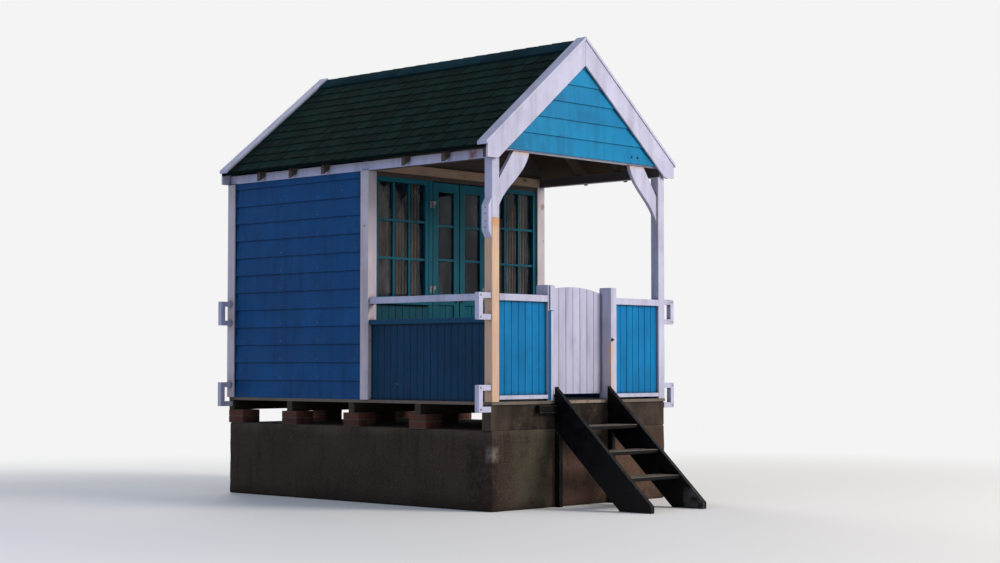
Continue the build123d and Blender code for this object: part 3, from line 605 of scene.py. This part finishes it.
white_upright = gloss_paint("gloss_white_upright", WHITE, WHITE_SHADE, "Z")
white_across = gloss_paint("gloss_white_across", WHITE, WHITE_SHADE, "X")
white_along = gloss_paint("gloss_white_along", WHITE, WHITE_SHADE, "Y")
white_rails = gloss_paint("gloss_white_rails", WHITE, WHITE_SHADE, "Y")
white_plates = gloss_paint("gloss_white_plates", WHITE, WHITE_SHADE, "Y")
white_braces = gloss_paint("gloss_white_braces", WHITE, WHITE_SHADE, "Z")
white_trims = gloss_paint("gloss_white_trims", "#cbc2c9", "#b0a6ab", "Z")
white_gate = gloss_paint("gloss_white_gate", "#c4c3d8", WHITE_SHADE, "Z", gate_joints)
turquoise_panel = gloss_paint("gloss_turquoise_panel", TURQUOISE, TURQUOISE_SHADE, "Z", panel_joints)
turquoise_gable = gloss_paint("gloss_turquoise_gable", "#0684b4", "#036d9d", "X", gable_laps)
blue_side = gloss_paint("gloss_blue_side", NAVY, NAVY_SHADE, "Y", wall_laps, gloss=DULL)
blue_rear = gloss_paint("gloss_blue_rear", NAVY, NAVY_SHADE, "X", wall_laps, gloss=DULL)
blue_panel = gloss_paint("gloss_blue_panel", MIDNIGHT, MIDNIGHT_SHADE, "Z", side_joints, gloss=DULL)
teal_wood = gloss_paint("gloss_teal", "#0b5e70", "#08495a", "Z", wear="#4d8a90")
# Darker teal for the aprons under the cabin's windows: painted shade
teal_apron_painted_shade = gloss_paint("gloss_teal_apron_painted_shade", "#0c4a59", "#093846", "Z")
new_softwood = sawn_timber("new_softwood", "#d8b697", "#c2946d", "Z", 0.3, "#c2b3a9")
aged_rafters = sawn_timber("aged_softwood_across", OLD_WOOD, OLD_SHADE, "X", 0.5, OLD_GREY)
aged_ridge = sawn_timber("aged_softwood_along", OLD_WOOD, OLD_SHADE, "Y", 0.5, OLD_GREY)
beam_softwood = sawn_timber("beam_softwood", "#a88d78", "#83695a", "X", 0.4)
deck_softwood = sawn_timber("deck_softwood", "#75675a", "#4d4138", "X", 0.7)
bearer_softwood = sawn_timber("bearer_softwood", "#33291f", "#1e1812", "X", 0.3, "#3a342e")
tarred = tarred_timber("tarred_timber", False)
tarred_tread = tarred_timber("tarred_tread", True)
# Bare timber on the cabin's front gable, its dark brown-grey partly painted shade
shaded_boards = sawn_timber("shaded_softwood", "#4b4039", "#332a25", "X", 0.3, "#403a38")
roof_boards = mineral_felt("felt_on_boards", "#020c0c", "#06191a", "#12211b")
felt = mineral_felt("mineral_felt", "#010c0c", "#082624", "#183225")
ridge_felt = mineral_felt("mineral_felt_ridge", "#0f262d", "#1a3a43", "#2b4044")
concrete = cast_concrete("cast_concrete", "#3c3229", "#251c16")
kerb_render = cast_concrete("rendered_kerb", "#30271f", "#1d1611")
brick = fired_brick("fired_brick")
mortar = lime_mortar("lime_mortar")
steel = dull_steel("galvanised_steel", "#85898c", "#606467", 0.1)
black_iron = dull_steel("blackened_iron", "#2a2a2c", "#19191b", 0.02)
glass = float_glass("float_glass")
cotton = curtain_cotton("curtain_cotton")


# Places that are finished otherwise than the rest of their piece


def faces_inwards(tree, place):
    """High on the side timbers' undersides and on their faces to the hut's middle."""
    facing = add(tree, "SeparateXYZ", add(tree, "NewGeometry").outputs["Normal"]).outputs
    side = add(tree, "Math", add(tree, "SeparateXYZ", place).outputs["X"], operation="SIGN")
    inwards = add(tree, "Math", facing["X"], side, operation="MULTIPLY")
    inner = add(tree, "MapRange", inwards, -0.6, -0.9, 0.0, 0.9)
    under = add(tree, "MapRange", facing["Z"], -0.6, -0.9, 0.0, 0.9)
    return add(tree, "Math", inner, under, operation="MAXIMUM")


def looks_down(tree, place):
    """1 on the undersides."""
    facing = add(tree, "SeparateXYZ", add(tree, "NewGeometry").outputs["Normal"]).outputs["Z"]
    return add(tree, "MapRange", facing, -0.5, -0.6, 0.0, 1.0)


def stained(material, low, high, code, soft, mark, shift, amount=1.0):
    """Lays a ragged patch of another colour over a finish. Its box is given by two corners and
    a soft edge, and is broken by marks, all in millimetres."""

    def ragged_patch(tree, place):
        box = inside_box(tree, place, at(*low), at(*high), soft)
        ragged = marks(tree, place, mark, 0.3, 0.58, amount, detail=7, shift=shift)
        return add(tree, "Math", box, ragged, operation="MULTIPLY")

    painted_over(material, ragged_patch, code)


def lower_side_rail(tree, place):
    """1 on the middle rails, which are painted as the panels under them."""
    return inside_box(tree, place, at(-1300, 0, 1600), at(1300, 1700, 1740), 2)


def below_the_cleat(tree, place):
    """1 on the outer strip of the left gate post under the cleat: dark paint and painted shade."""
    return inside_box(tree, place, at(-484, -60, 962), at(-440, 4, 1776), 3)


def bare_brace_ends(tree, place):
    """High near both ends of the knee braces, where the paint has come off in flakes."""
    height = add(tree, "SeparateXYZ", place).outputs["Z"]
    brace_foot, brace_head = 2.63, 3.18
    high = add(tree, "MapRange", height, brace_head - 0.03, brace_head, 0.0, 1.0)
    low = add(tree, "MapRange", height, brace_foot + 0.05, brace_foot, 0.0, 1.0)
    ragged = marks(tree, place, BRACE_FLAKE, 0.35, 0.6, 0.8)
    ends = add(tree, "Math", high, low, operation="MAXIMUM")
    return add(tree, "Math", ends, ragged, operation="MULTIPLY")


def knots_through_paint(tree, place):
    """High where resin from large knots has stained the corner boards."""
    return marks(tree, place, STAINED_KNOT, 0.7, 0.74, 0.7, lengthwise("Z", 1.5), 1, 0.5, 4.4)


def under_the_splice(tree, place):
    """Grows towards the splice, just under which the new post is darkest."""
    height = add(tree, "SeparateXYZ", place).outputs["Z"]
    rise = (2.44, 2.56)
    return add(tree, "MapRange", height, *rise, 0.0, 0.75, interpolation_type="SMOOTHSTEP")


painted_over(roof_boards, looks_down, "#43372d")
painted_over(white_plates, faces_inwards, "#3d3029")
# Rust on the left wall plate
stained(white_plates, (-1240, 195, 3116), (-1200, 270, 3182), "#7c3a1c", 50, 48, 2.2)
painted_over(white_rails, lower_side_rail, "#08405f")
painted_over(white_braces, bare_brace_ends, "#cfae8c")
painted_over(white_trims, knots_through_paint, "#8b6e5c")
painted_over(new_softwood, under_the_splice, "#c58a5c")
# Bare timber along the edge of the right gate post
stained(white_upright, (385, -40, 900), (430, 45, 1500), "#d3b48e", 60, 45, 6.1)
# Dark turquoise on the left gate post under the cleat: its paint and painted shade
painted_over(white_upright, below_the_cleat, "#0a5380")
# Darker places on the gable boards
stained(turquoise_gable, (-960, -60, 3225), (-740, 0, 3330), "#04486f", 90, 60, 1.3, 0.6)
stained(turquoise_gable, (-80, -60, 3560), (260, 0, 3640), "#055680", 60, 70, 4.3, 0.4)
stained(turquoise_gable, (-420, -60, 3700), (-260, 0, 3790), "#04486f", 80, 50, 8.1, 0.5)
# On the plinth: green growth, brown wash, a dark corner and a pale chip
stained(concrete, (-900, -60, 60), (-480, 60, 690), "#50513f", 200, 130, 3.3, 0.55)
stained(concrete, (-330, -60, 0), (1230, 60, 600), "#6d4f45", 260, 150, 7.9, 0.5)
stained(concrete, (-1260, -60, 0), (-1130, 300, 560), "#241c17", 120, 60, 5.7, 0.85)
stained(concrete, (-1260, -60, 455), (-1150, 60, 545), "#9d9388", 85, 60, 6.3, 0.6)
# Painted sunlight: a paler brown patch on the plinth behind the steps
stained(concrete, (430, -60, 0), (1010, 60, 500), "#705644", 190, 100, 4.7, 0.5)
# Painted shade and dark stains on the kerb, blackest under the gate
stained(kerb_render, (-1150, 0, 660), (1200, 140, 960), "#1b1512", 60, 240, 2.9, 0.7)
stained(kerb_render, (-960, 0, 680), (-330, 140, 960), "#15110f", 110, 90, 3.8, 0.9)
stained(kerb_render, (-340, 0, 660), (480, 140, 960), "#120d0c", 70, 120, 6.6, 0.95)
# Worn wood at the floor's edge in the gateway, and at the foot of the right stringer
stained(deck_softwood, (-330, -20, 930), (250, 25, 962), "#9c8d7d", 24, 40, 5.2, 0.8)
stained(tarred, (340, -1110, 10), (353, -900, 170), "#67625f", 40, 50, 2.6, 0.7)


# Finish of the frame's own pieces


def dressed(names, finish, edge_mm=2.5):
    """Gives carried-over pieces their material, and their sawn edges a real softness."""
    for name in names.split():
        node = cad[name]
        for place in node.material_slots:
            place.material = finish
        if edge_mm:
            node.modifiers.new("close", "WELD").merge_threshold = 0.00002
            soft = node.modifiers.new("soft_edges", "BEVEL")
            soft.width = edge_mm / 1000
            soft.segments = 2
            soft.limit_method = "ANGLE"
            soft.angle_limit = math.radians(35)
            soft.harden_normals = True


dressed("brick_piers", mortar, 0)
dressed("plinth", concrete, 0)
dressed("front_kerb", kerb_render, 6)
dressed("bearers", bearer_softwood, 4)
dressed("veranda_deck cabin_floor", deck_softwood, 0)
dressed("front_left_post_lower", new_softwood, 2)
dressed("front_left_post_upper post_splice_plate front_right_post", white_upright)
dressed("gate_posts gate_post_cleat", white_upright)
dressed("loop_uprights", white_upright, 3)
dressed("corner_trims", white_trims)
dressed("front_rails front_tie_beam loop_arms gate_ledges bargeboards", white_across)
dressed("barge_cappings", white_along)
dressed("side_rails", white_rails)
dressed("wall_plates", white_plates)
dressed("knee_braces", white_braces)
dressed("gate_boards", white_gate, 1.5)
dressed("front_panels", turquoise_panel, 1.2)
dressed("front_gable_boards", turquoise_gable, 1.5)
dressed("side_panels", blue_panel, 1.2)
dressed("cabin_side_walls", blue_side, 2)
dressed("rear_wall", blue_rear, 2)
dressed("cabin_front_gable", shaded_boards, 2)
dressed("cabin_front_posts window_sills window_frames", teal_wood, 1.8)
dressed("right_door_leaf left_door_leaf", teal_wood, 1.8)
dressed("cabin_front_aprons", teal_apron_painted_shade, 1.2)
dressed("cabin_head_beam", beam_softwood, 3)
dressed("rafters", aged_rafters, 2)
dressed("ridge_board", aged_ridge, 2)
dressed("roof_left roof_right", roof_boards, 0)
dressed("ridge_strip", ridge_felt, 0)
dressed("window_glass right_door_glass left_door_glass", glass, 0)
dressed("door_hinge_plates right_door_hinges left_door_hinges", steel, 0)
dressed("gate_hinge_bands gate_hinge_hooks curtain_rods", steel, 0)
dressed("curtains", cotton, 0)
dressed("step_stringers step_supports", tarred, 3)
dressed("step_treads", tarred_tread, 0)


# Roof covering


def roof_height(x, depth=0.0):
    """Height in millimetres of the plane this deep under the roof's top, at x from the ridge."""
    return roof_top * 1000 - abs(x) * math.tan(ROOF_PITCH) - depth / math.cos(ROOF_PITCH)


def course_lines():
    """For each shingle course, its upper and lower ends on the right slope, as x and z."""
    run = (eave * 1000 - FIRST_COURSE) / COURSES
    lines = []
    for course in range(COURSES):
        upper = FIRST_COURSE + course * run
        lower = upper + run
        lines.append(((upper, roof_height(upper, COURSE_STEP)), (lower, roof_height(lower))))
    return lines


def felt_tab(length):
    """One tab of felt at the origin. It runs along x to its lower edge, whose corners are cut
    round."""
    half = (TAB_PITCH - TAB_GAP) / 2
    low = Vector((0, -half, -TAB_SUNK)) / 1000
    high = Vector((length, half, TAB_THICK - TAB_SUNK)) / 1000
    tab = squared("felt_tab", low, high)

    def lower_corner(ends):
        upright = abs(ends[0].y - ends[1].y) < 0.001
        return upright and min(point.x for point in ends) > high.x - 0.001

    edit_where(tab, "EDGE", lower_corner)
    bpy.ops.mesh.bevel(offset=TAB_CORNER / 1000, segments=4, affect="EDGES")
    bpy.ops.object.mode_set(mode="OBJECT")
    return tab


def lay_shingles():
    """Felt tabs in staggered courses on both slopes, each a little off its line."""
    lines = course_lines()
    (x0, z0), (x1, z1) = lines[0]
    tab = felt_tab(math.hypot(x1 - x0, z1 - z0) + TAB_OVERRUN)
    half_turn = Matrix.Rotation(math.pi, 4, "Z")
    middle = Matrix.Translation(Vector((0, 2 * front_y + (ROOF_START + ROOF_END) / 1000, 0)))
    half_wide = Matrix.Diagonal((1, 0.5, 1, 1))
    start = ROOF_END - TABS * TAB_PITCH
    for side in ("right", "left"):
        tabs = []
        for course, ((x0, z0), (x1, z1)) in enumerate(lines):
            fall = math.atan2(z0 - z1, x1 - x0)
            places = [start + TAB_PITCH * (number + 0.5) for number in range(TABS)]
            if course % 2:
                places = [start + TAB_PITCH * (number + 1) for number in range(TABS - 1)]
                places = [start + TAB_PITCH / 4] + places + [ROOF_END - TAB_PITCH / 4]
            for number, y in enumerate(places):
                lift = math.radians(chance.uniform(0, TAB_ASKEW))
                skew = math.radians(chance.uniform(-TAB_ASKEW, TAB_ASKEW))
                put = Matrix.Translation(at(x0, y + chance.uniform(-STRAY, STRAY), z0))
                put = put @ Matrix.Rotation(fall - lift, 4, "Y") @ Matrix.Rotation(skew, 4, "Z")
                if course % 2 and number in (0, TABS):
                    put = put @ half_wide
                if side == "left":
                    put = middle @ half_turn @ put
                tabs.append(toned(repeated(tab, put), chance.random()))
        fitted(gathered("shingles_" + side, tabs), felt, "hut")
    scrapped(tab)


def lay_ridge_caps():
    """Folded felt caps over the ridge, each lapping the one behind it."""
    reach = RIDGE_REACH / 1000
    far_corner = Vector((reach, CAP_LENGTH / 1000, CAP_THICK / 1000))
    blank = squared("felt_cap", Vector((-reach, 0, 0)), far_corner)
    only(blank)
    bpy.ops.object.mode_set(mode="EDIT")
    bpy.ops.mesh.select_all(action="SELECT")
    bpy.ops.mesh.bisect(plane_co=(0, 0, 0), plane_no=(1, 0, 0))
    bpy.ops.object.mode_set(mode="OBJECT")
    edit_where(blank, "EDGE", lambda ends: max(abs(point.x) for point in ends) < 0.001)
    rise = reach * math.tan(ROOF_PITCH)
    bpy.ops.transform.translate(value=(0, 0, rise))
    bpy.ops.object.mode_set(mode="OBJECT")
    softened(blank, 1.2, 1)
    caps = []
    y = ROOF_END - CAP_LENGTH
    strip_top = roof_height(RIDGE_REACH, -CAP_LIFT)
    while y > ROOF_START - CAP_STEP:
        tilt = Matrix.Rotation(math.radians(CAP_TILT + chance.uniform(0, CAP_ASKEW)), 4, "X")
        place = at(chance.uniform(-STRAY, STRAY), max(y, ROOF_START), strip_top)
        caps.append(toned(repeated(blank, Matrix.Translation(place) @ tilt), chance.random()))
        y -= CAP_STEP
    scrapped(blank)
    fitted(gathered("ridge_caps", caps), ridge_felt, "hut")


# Plinth and piers


def cast_plinth():
    """The plinth as it left its shuttering, with chipped upper edges and uneven faces. It lies
    everywhere inside the plain block."""
    block = squared("plinth_concrete", plinth_low, plinth_high)
    softened(block, 16, 2)
    only(block)
    bpy.ops.object.mode_set(mode="EDIT")
    size = plinth_high - plinth_low
    parts_across, parts_deep, parts_high = 56, 84, 17
    for axis, cuts in enumerate((parts_across, parts_deep, parts_high)):
        for cut in range(1, cuts):
            bpy.ops.mesh.select_all(action="SELECT")
            spot = plinth_low.copy()
            spot[axis] += size[axis] * cut / cuts
            way = [1.0 if number == axis else 0.0 for number in range(3)]
            bpy.ops.mesh.bisect(plane_co=spot, plane_no=way)
    bpy.ops.object.mode_set(mode="OBJECT")
    uneven = bpy.data.textures.new("plinth_unevenness", "CLOUDS")
    uneven.noise_scale = 0.16
    uneven.noise_depth = 4
    faces = block.vertex_groups.new(name="faces")
    free = [
        point.index
        for point in block.data.vertices
        if plinth_low.z + 0.004 < point.co.z < plinth_high.z - 0.002
    ]
    faces.add(free, 1.0, "REPLACE")
    applied(block, "DISPLACE", texture=uneven, strength=0.012, mid_level=1.0, vertex_group="faces")
    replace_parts(fitted(block, concrete, "hut", 40), "plinth")


def build_piers():
    """Two courses of bricks on each pier, standing a little proud of the mortar."""
    far_corner = Vector([side / 1000 for side in BRICK])
    brick_blank = squared("pier_brick", Vector((0, 0, 0)), far_corner)
    softened(brick_blank, 4, 2)
    quarter = Matrix.Rotation(math.pi / 2, 4, "Z")
    bricks = []
    for row in range(1, BEARERS + 1):
        y0 = min(row * BEARER_PITCH - PIER_LEAD, HUT_DEPTH - PIER_SIDE) - BRICK_PROUD
        for x0 in PIER_LEFT_SIDES:
            for half in (0, BRICK_PITCH):
                put = Matrix.Translation(at(x0 - BRICK_PROUD + half, y0, PIER_FOOT))
                bricks.append(toned(repeated(brick_blank, put), chance.random()))
            for half in (0, BRICK_PITCH):
                corner = at(x0 + PIER_SIDE + BRICK_PROUD, y0 + half, PIER_FOOT + BRICK_COURSE)
                put = Matrix.Translation(corner) @ quarter
                bricks.append(toned(repeated(brick_blank, put), chance.random()))
    scrapped(brick_blank)
    fitted(gathered("pier_bricks", bricks), brick, "hut")


# Curtains


def hang_curtains():
    """Four gathered cotton curtains. Each hangs full at its outer side and sags away from the
    rod towards the window's middle, where the dark room shows between them."""
    box_low, box_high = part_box("curtains")
    middle_y = (box_low[1] + box_high[1]) / 2
    top, foot = box_high[2], box_low[2]
    for number, (outer, inner) in enumerate(CURTAIN_EDGES):
        bpy.ops.mesh.primitive_grid_add(x_subdivisions=110, y_subdivisions=36, size=1)
        cloth = settled("curtain_" + "abcd"[number])
        phase = chance.uniform(0, 6)
        for point in cloth.data.vertices:
            across, down = point.co.x + 0.5, 0.5 - point.co.y
            sag = SAG * max(0.0, (across - FULL_PART) / (1 - FULL_PART)) ** 1.3
            pleat = 2 * math.pi * PLEATS * across
            start = top - sag - SCALLOP * (1 - math.cos(pleat)) * (1 - down)
            turn = pleat + 0.5 * math.sin(3 * down + phase) + 0.35 * math.sin(7 * across + phase)
            depth = (FOLD + FOLD_GROWTH * down) * (0.9 + 0.1 * math.sin(5 * across + phase))
            x = (outer + (inner - outer) * across) / 1000 + SHIVER * math.sin(2 * turn)
            point.co = Vector((x, middle_y + depth * math.sin(turn), start + (foot - start) * down))
        applied(cloth, "SOLIDIFY", thickness=0.0008, offset=0.0)
        fitted(cloth, cotton, "hut", 60)
        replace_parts(cloth, "curtains")


# Fixings


def nailed(name, places, direction, head, finish):
    """The same round head at many places on the hut, all facing one way."""
    radius, proud = head
    shape = [(0, radius), (proud * 0.6, radius), (proud * 0.4, radius * 0.7)]
    blank = turned(name + "_head", (0, 0, 0), direction, shape, 8)
    heads = [repeated(blank, Matrix.Translation(place)) for place in places]
    scrapped(blank)
    return fitted(gathered(name, heads), finish, "hut")


def lap_out(z, foot, cover, thick, step):
    """How far a lapped board stands out at height z, in millimetres."""
    return thick - step * ((z - foot) % cover) / cover


def strayed(value):
    """A nail's place along the board, a little off its stud's middle."""
    return value + chance.uniform(-NAIL_STRAY, NAIL_STRAY)


def drive_nails():
    """Nails near the lower edge of each lapped board, at the studs behind it, and two bolts low
    in the front gable."""
    side_studs = (1790, 2320, 2870, 3460)
    rear_studs = (-1080, -360, 360, 1080)
    gable_studs = (-780, -260, 260, 780)
    deck = deck_z * 1000
    gable_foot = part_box("front_gable_boards")[0][2] * 1000
    side, rear, front = {1: [], -1: []}, [], []
    for board in range(WALL_BOARDS):
        z = deck + board * WALL_LAP + WALL_NAIL_RISE
        out = lap_out(z, deck, WALL_LAP, WALL_THICK, WALL_STEP)
        for y in side_studs:
            for hand in (1, -1):
                side[hand].append(at(hand * (SIDE_WALL + out), strayed(y), z))
        for x in rear_studs:
            rear.append(at(strayed(x), REAR_WALL + out, z))
    for board in range(GABLE_BOARDS):
        z = gable_foot + board * GABLE_LAP + GABLE_NAIL_RISE
        out = lap_out(z, gable_foot, GABLE_LAP, GABLE_THICK, GABLE_STEP)
        for x in gable_studs:
            if roof_height(x, BARGE_DEPTH) > z + 40:
                front.append(at(strayed(x), -out, z))
    for hand, name in ((1, "right"), (-1, "left")):
        nailed("nails_" + name, side[hand], (hand, 0, 0), NAIL, steel)
    nailed("nails_rear", rear, (0, 1, 0), NAIL, steel)
    nailed("nails_gable", front, (0, -1, 0), NAIL, steel)
    z = 3266
    out = lap_out(z, gable_foot, GABLE_LAP, GABLE_THICK, GABLE_STEP)
    bolts = [at(x, -out, z) for x in (700, 788)]
    nailed("gable_bolts", bolts, (0, -1, 0), GABLE_BOLT, black_iron)


def drive_bolts():
    """Bolts through the carrying loops, the splice plate and the steps' sides."""
    front_face, rear_face = 10, 3650
    loop_x, stringer_x = 1350, 395
    loops, stringers = {front_face: [], rear_face: []}, {1: [], -1: []}
    for y, places in loops.items():
        for loop_foot in (870, 1680):
            for rise in (25, 215):
                for x in (-loop_x, loop_x):
                    places.append(at(x, y, loop_foot + rise))
    plate = [at(-1260, 47, z) for z in (2490, 2545, 2615, 2670)]
    for y, z in ((-40, 960), (-400, 640), (-640, 410), (-880, 190)):
        for hand in (1, -1):
            stringers[hand].append(at(hand * stringer_x, y, z))
    nailed("loop_bolts_front", loops[front_face], (0, -1, 0), LOOP_BOLT, steel)
    nailed("loop_bolts_rear", loops[rear_face], (0, 1, 0), LOOP_BOLT, steel)
    nailed("splice_bolts", plate, (-1, 0, 0), SPLICE_BOLT, steel)
    nailed("stringer_bolts_right", stringers[1], (1, 0, 0), STRINGER_BOLT, black_iron)
    nailed("stringer_bolts_left", stringers[-1], (-1, 0, 0), STRINGER_BOLT, black_iron)


# Door and gate furniture


def fit_door_knobs():
    """A turned knob on its round rose, at the lock rail of each leaf."""
    door_face, lock_rail = 1600, 1932
    rose = [(0, 24), (3, 24), (1.5, 20)]
    neck = [(1, 10), (14, 9)]
    grip = [(5, 17), (6, 24), (7, 26), (7, 22), (4, 12)]
    profile = rose + neck + grip
    for body, x in (("right_door", 42), ("left_door", -42)):
        knob = turned(body + "_knob", at(x, door_face, lock_rail), (0, -1, 0), profile, 28)
        fitted(knob, black_iron, body, 45)


def fit_gate_latch():
    """A staple on the right gate post, and behind it a sliding bolt on the gate."""
    staple_profile = [(0, 15), (3, 15), (1, 12), (1, 5), (12, 5), (3, 8), (3, 5)]
    staple = turned("gate_staple", at(419, 0, 1520), (0, -1, 0), staple_profile, 16)
    fitted(staple, black_iron, "hut", 45)
    plate = squared("gate_bolt_plate", at(250, 167, 1722), at(370, 170, 1782))
    softened(plate, 1.2)
    rod_profile = [(0, 5), (1, 6), (118, 6), (2, 4)]
    rod = turned("gate_bolt_rod", at(262, 178, 1752), (1, 0, 0), rod_profile, 16)
    keeps = []
    for x in (270, 340):
        keep = squared("gate_bolt_keep", at(x, 169, 1740), at(x + 18, 187, 1764))
        keeps.append(softened(keep, 5, 3))
    fitted(gathered("gate_bolt", [plate, rod] + keeps), black_iron, "gate", 45)


lay_shingles()
lay_ridge_caps()
cast_plinth()
build_piers()
hang_curtains()
drive_nails()
drive_bolts()
fit_door_knobs()
fit_gate_latch()


# Stage, light and camera


def seen_rays(tree):
    """1 for what the eye sees of the background: straight, in metal, or through glass."""
    rays = add(tree, "LightPath").outputs
    glossy, passing = rays["Is Glossy Ray"], rays["Is Transmission Ray"]
    either = add(tree, "Math", glossy, passing, operation="MAXIMUM")
    return add(tree, "Math", rays["Is Camera Ray"], either, operation="MAXIMUM")


def lay_floor():
    """A plain pale floor. It takes the hut's shadow, and far out it turns to the background."""
    bpy.ops.mesh.primitive_plane_add(size=FLOOR_SIZE, location=(0, 0, -FLOOR_DROP))
    floor = settled("studio_floor")
    material, tree, shader, place = new_finish("studio_floor", Roughness=0.95)
    shader.inputs["Base Color"].default_value = linear("#f2f0e9")
    away = add(tree, "VectorMath", place, operation="LENGTH").outputs["Value"]
    fade = (FADE_START, FADE_END)
    far = add(tree, "MapRange", away, *fade, 0.0, 1.0, interpolation_type="SMOOTHSTEP")
    share = add(tree, "Math", seen_rays(tree), far, operation="MULTIPLY")
    backdrop = add(tree, "Emission", BACKGROUND, 1.0)
    both = add(tree, "MixShader", share, shader, backdrop)
    tree.links.new(both.outputs[0], tree.nodes["Material Output"].inputs["Surface"])
    floor.data.materials.append(material)


def light_world():
    """An even soft light from all round, seen as a pale background."""
    world = bpy.data.worlds.new("studio")
    bpy.context.scene.world = world
    world.use_nodes = True
    tree = world.node_tree
    tree.nodes.clear()
    soft = add(tree, "Background", "#dfe8f8", 0.44)
    pale = add(tree, "Background", BACKGROUND, 1.0)
    add(tree, "OutputWorld", add(tree, "MixShader", seen_rays(tree), soft, pale))


def hang_lamp(name, place, size, power, tint):
    """A broad soft lamp that looks at the middle of the hut."""
    data = bpy.data.lights.new(name, "AREA")
    data.shape = "DISK"
    data.size = size
    data.energy = power
    data.color = linear(tint)[:3]
    lamp = bpy.data.objects.new(name, data)
    bpy.context.collection.objects.link(lamp)
    lamp.location = place
    lamp.rotation_euler = (HUT_MIDDLE - lamp.location).to_track_quat("-Z", "Y").to_euler()


def set_camera():
    """The photograph's eye: left of the hut, low over the ground, looking almost level."""
    data = bpy.data.cameras.new("photo_eye")
    eye = bpy.data.objects.new("photo_eye", data)
    bpy.context.collection.objects.link(eye)
    eye.location = (-12.867, front_y - 11.049, 1.29)
    target = Vector((-0.12, -0.35, 2.08))
    eye.rotation_euler = (target - eye.location).to_track_quat("-Z", "Y").to_euler()
    data.sensor_width = 36
    data.lens = 66
    bpy.context.scene.camera = eye


lay_floor()
light_world()
hang_lamp("key", (7.5, -18.0, 10.5), 8.0, 3250, "#fff6f0")
hang_lamp("left", (-12.0, 0.5, 6.0), 7.0, 200, "#82aaff")
hang_lamp("back", (6.0, 11.0, 8.0), 6.0, 500, "#ffffff")
set_camera()
bpy.context.scene.view_settings.view_transform = "Standard"
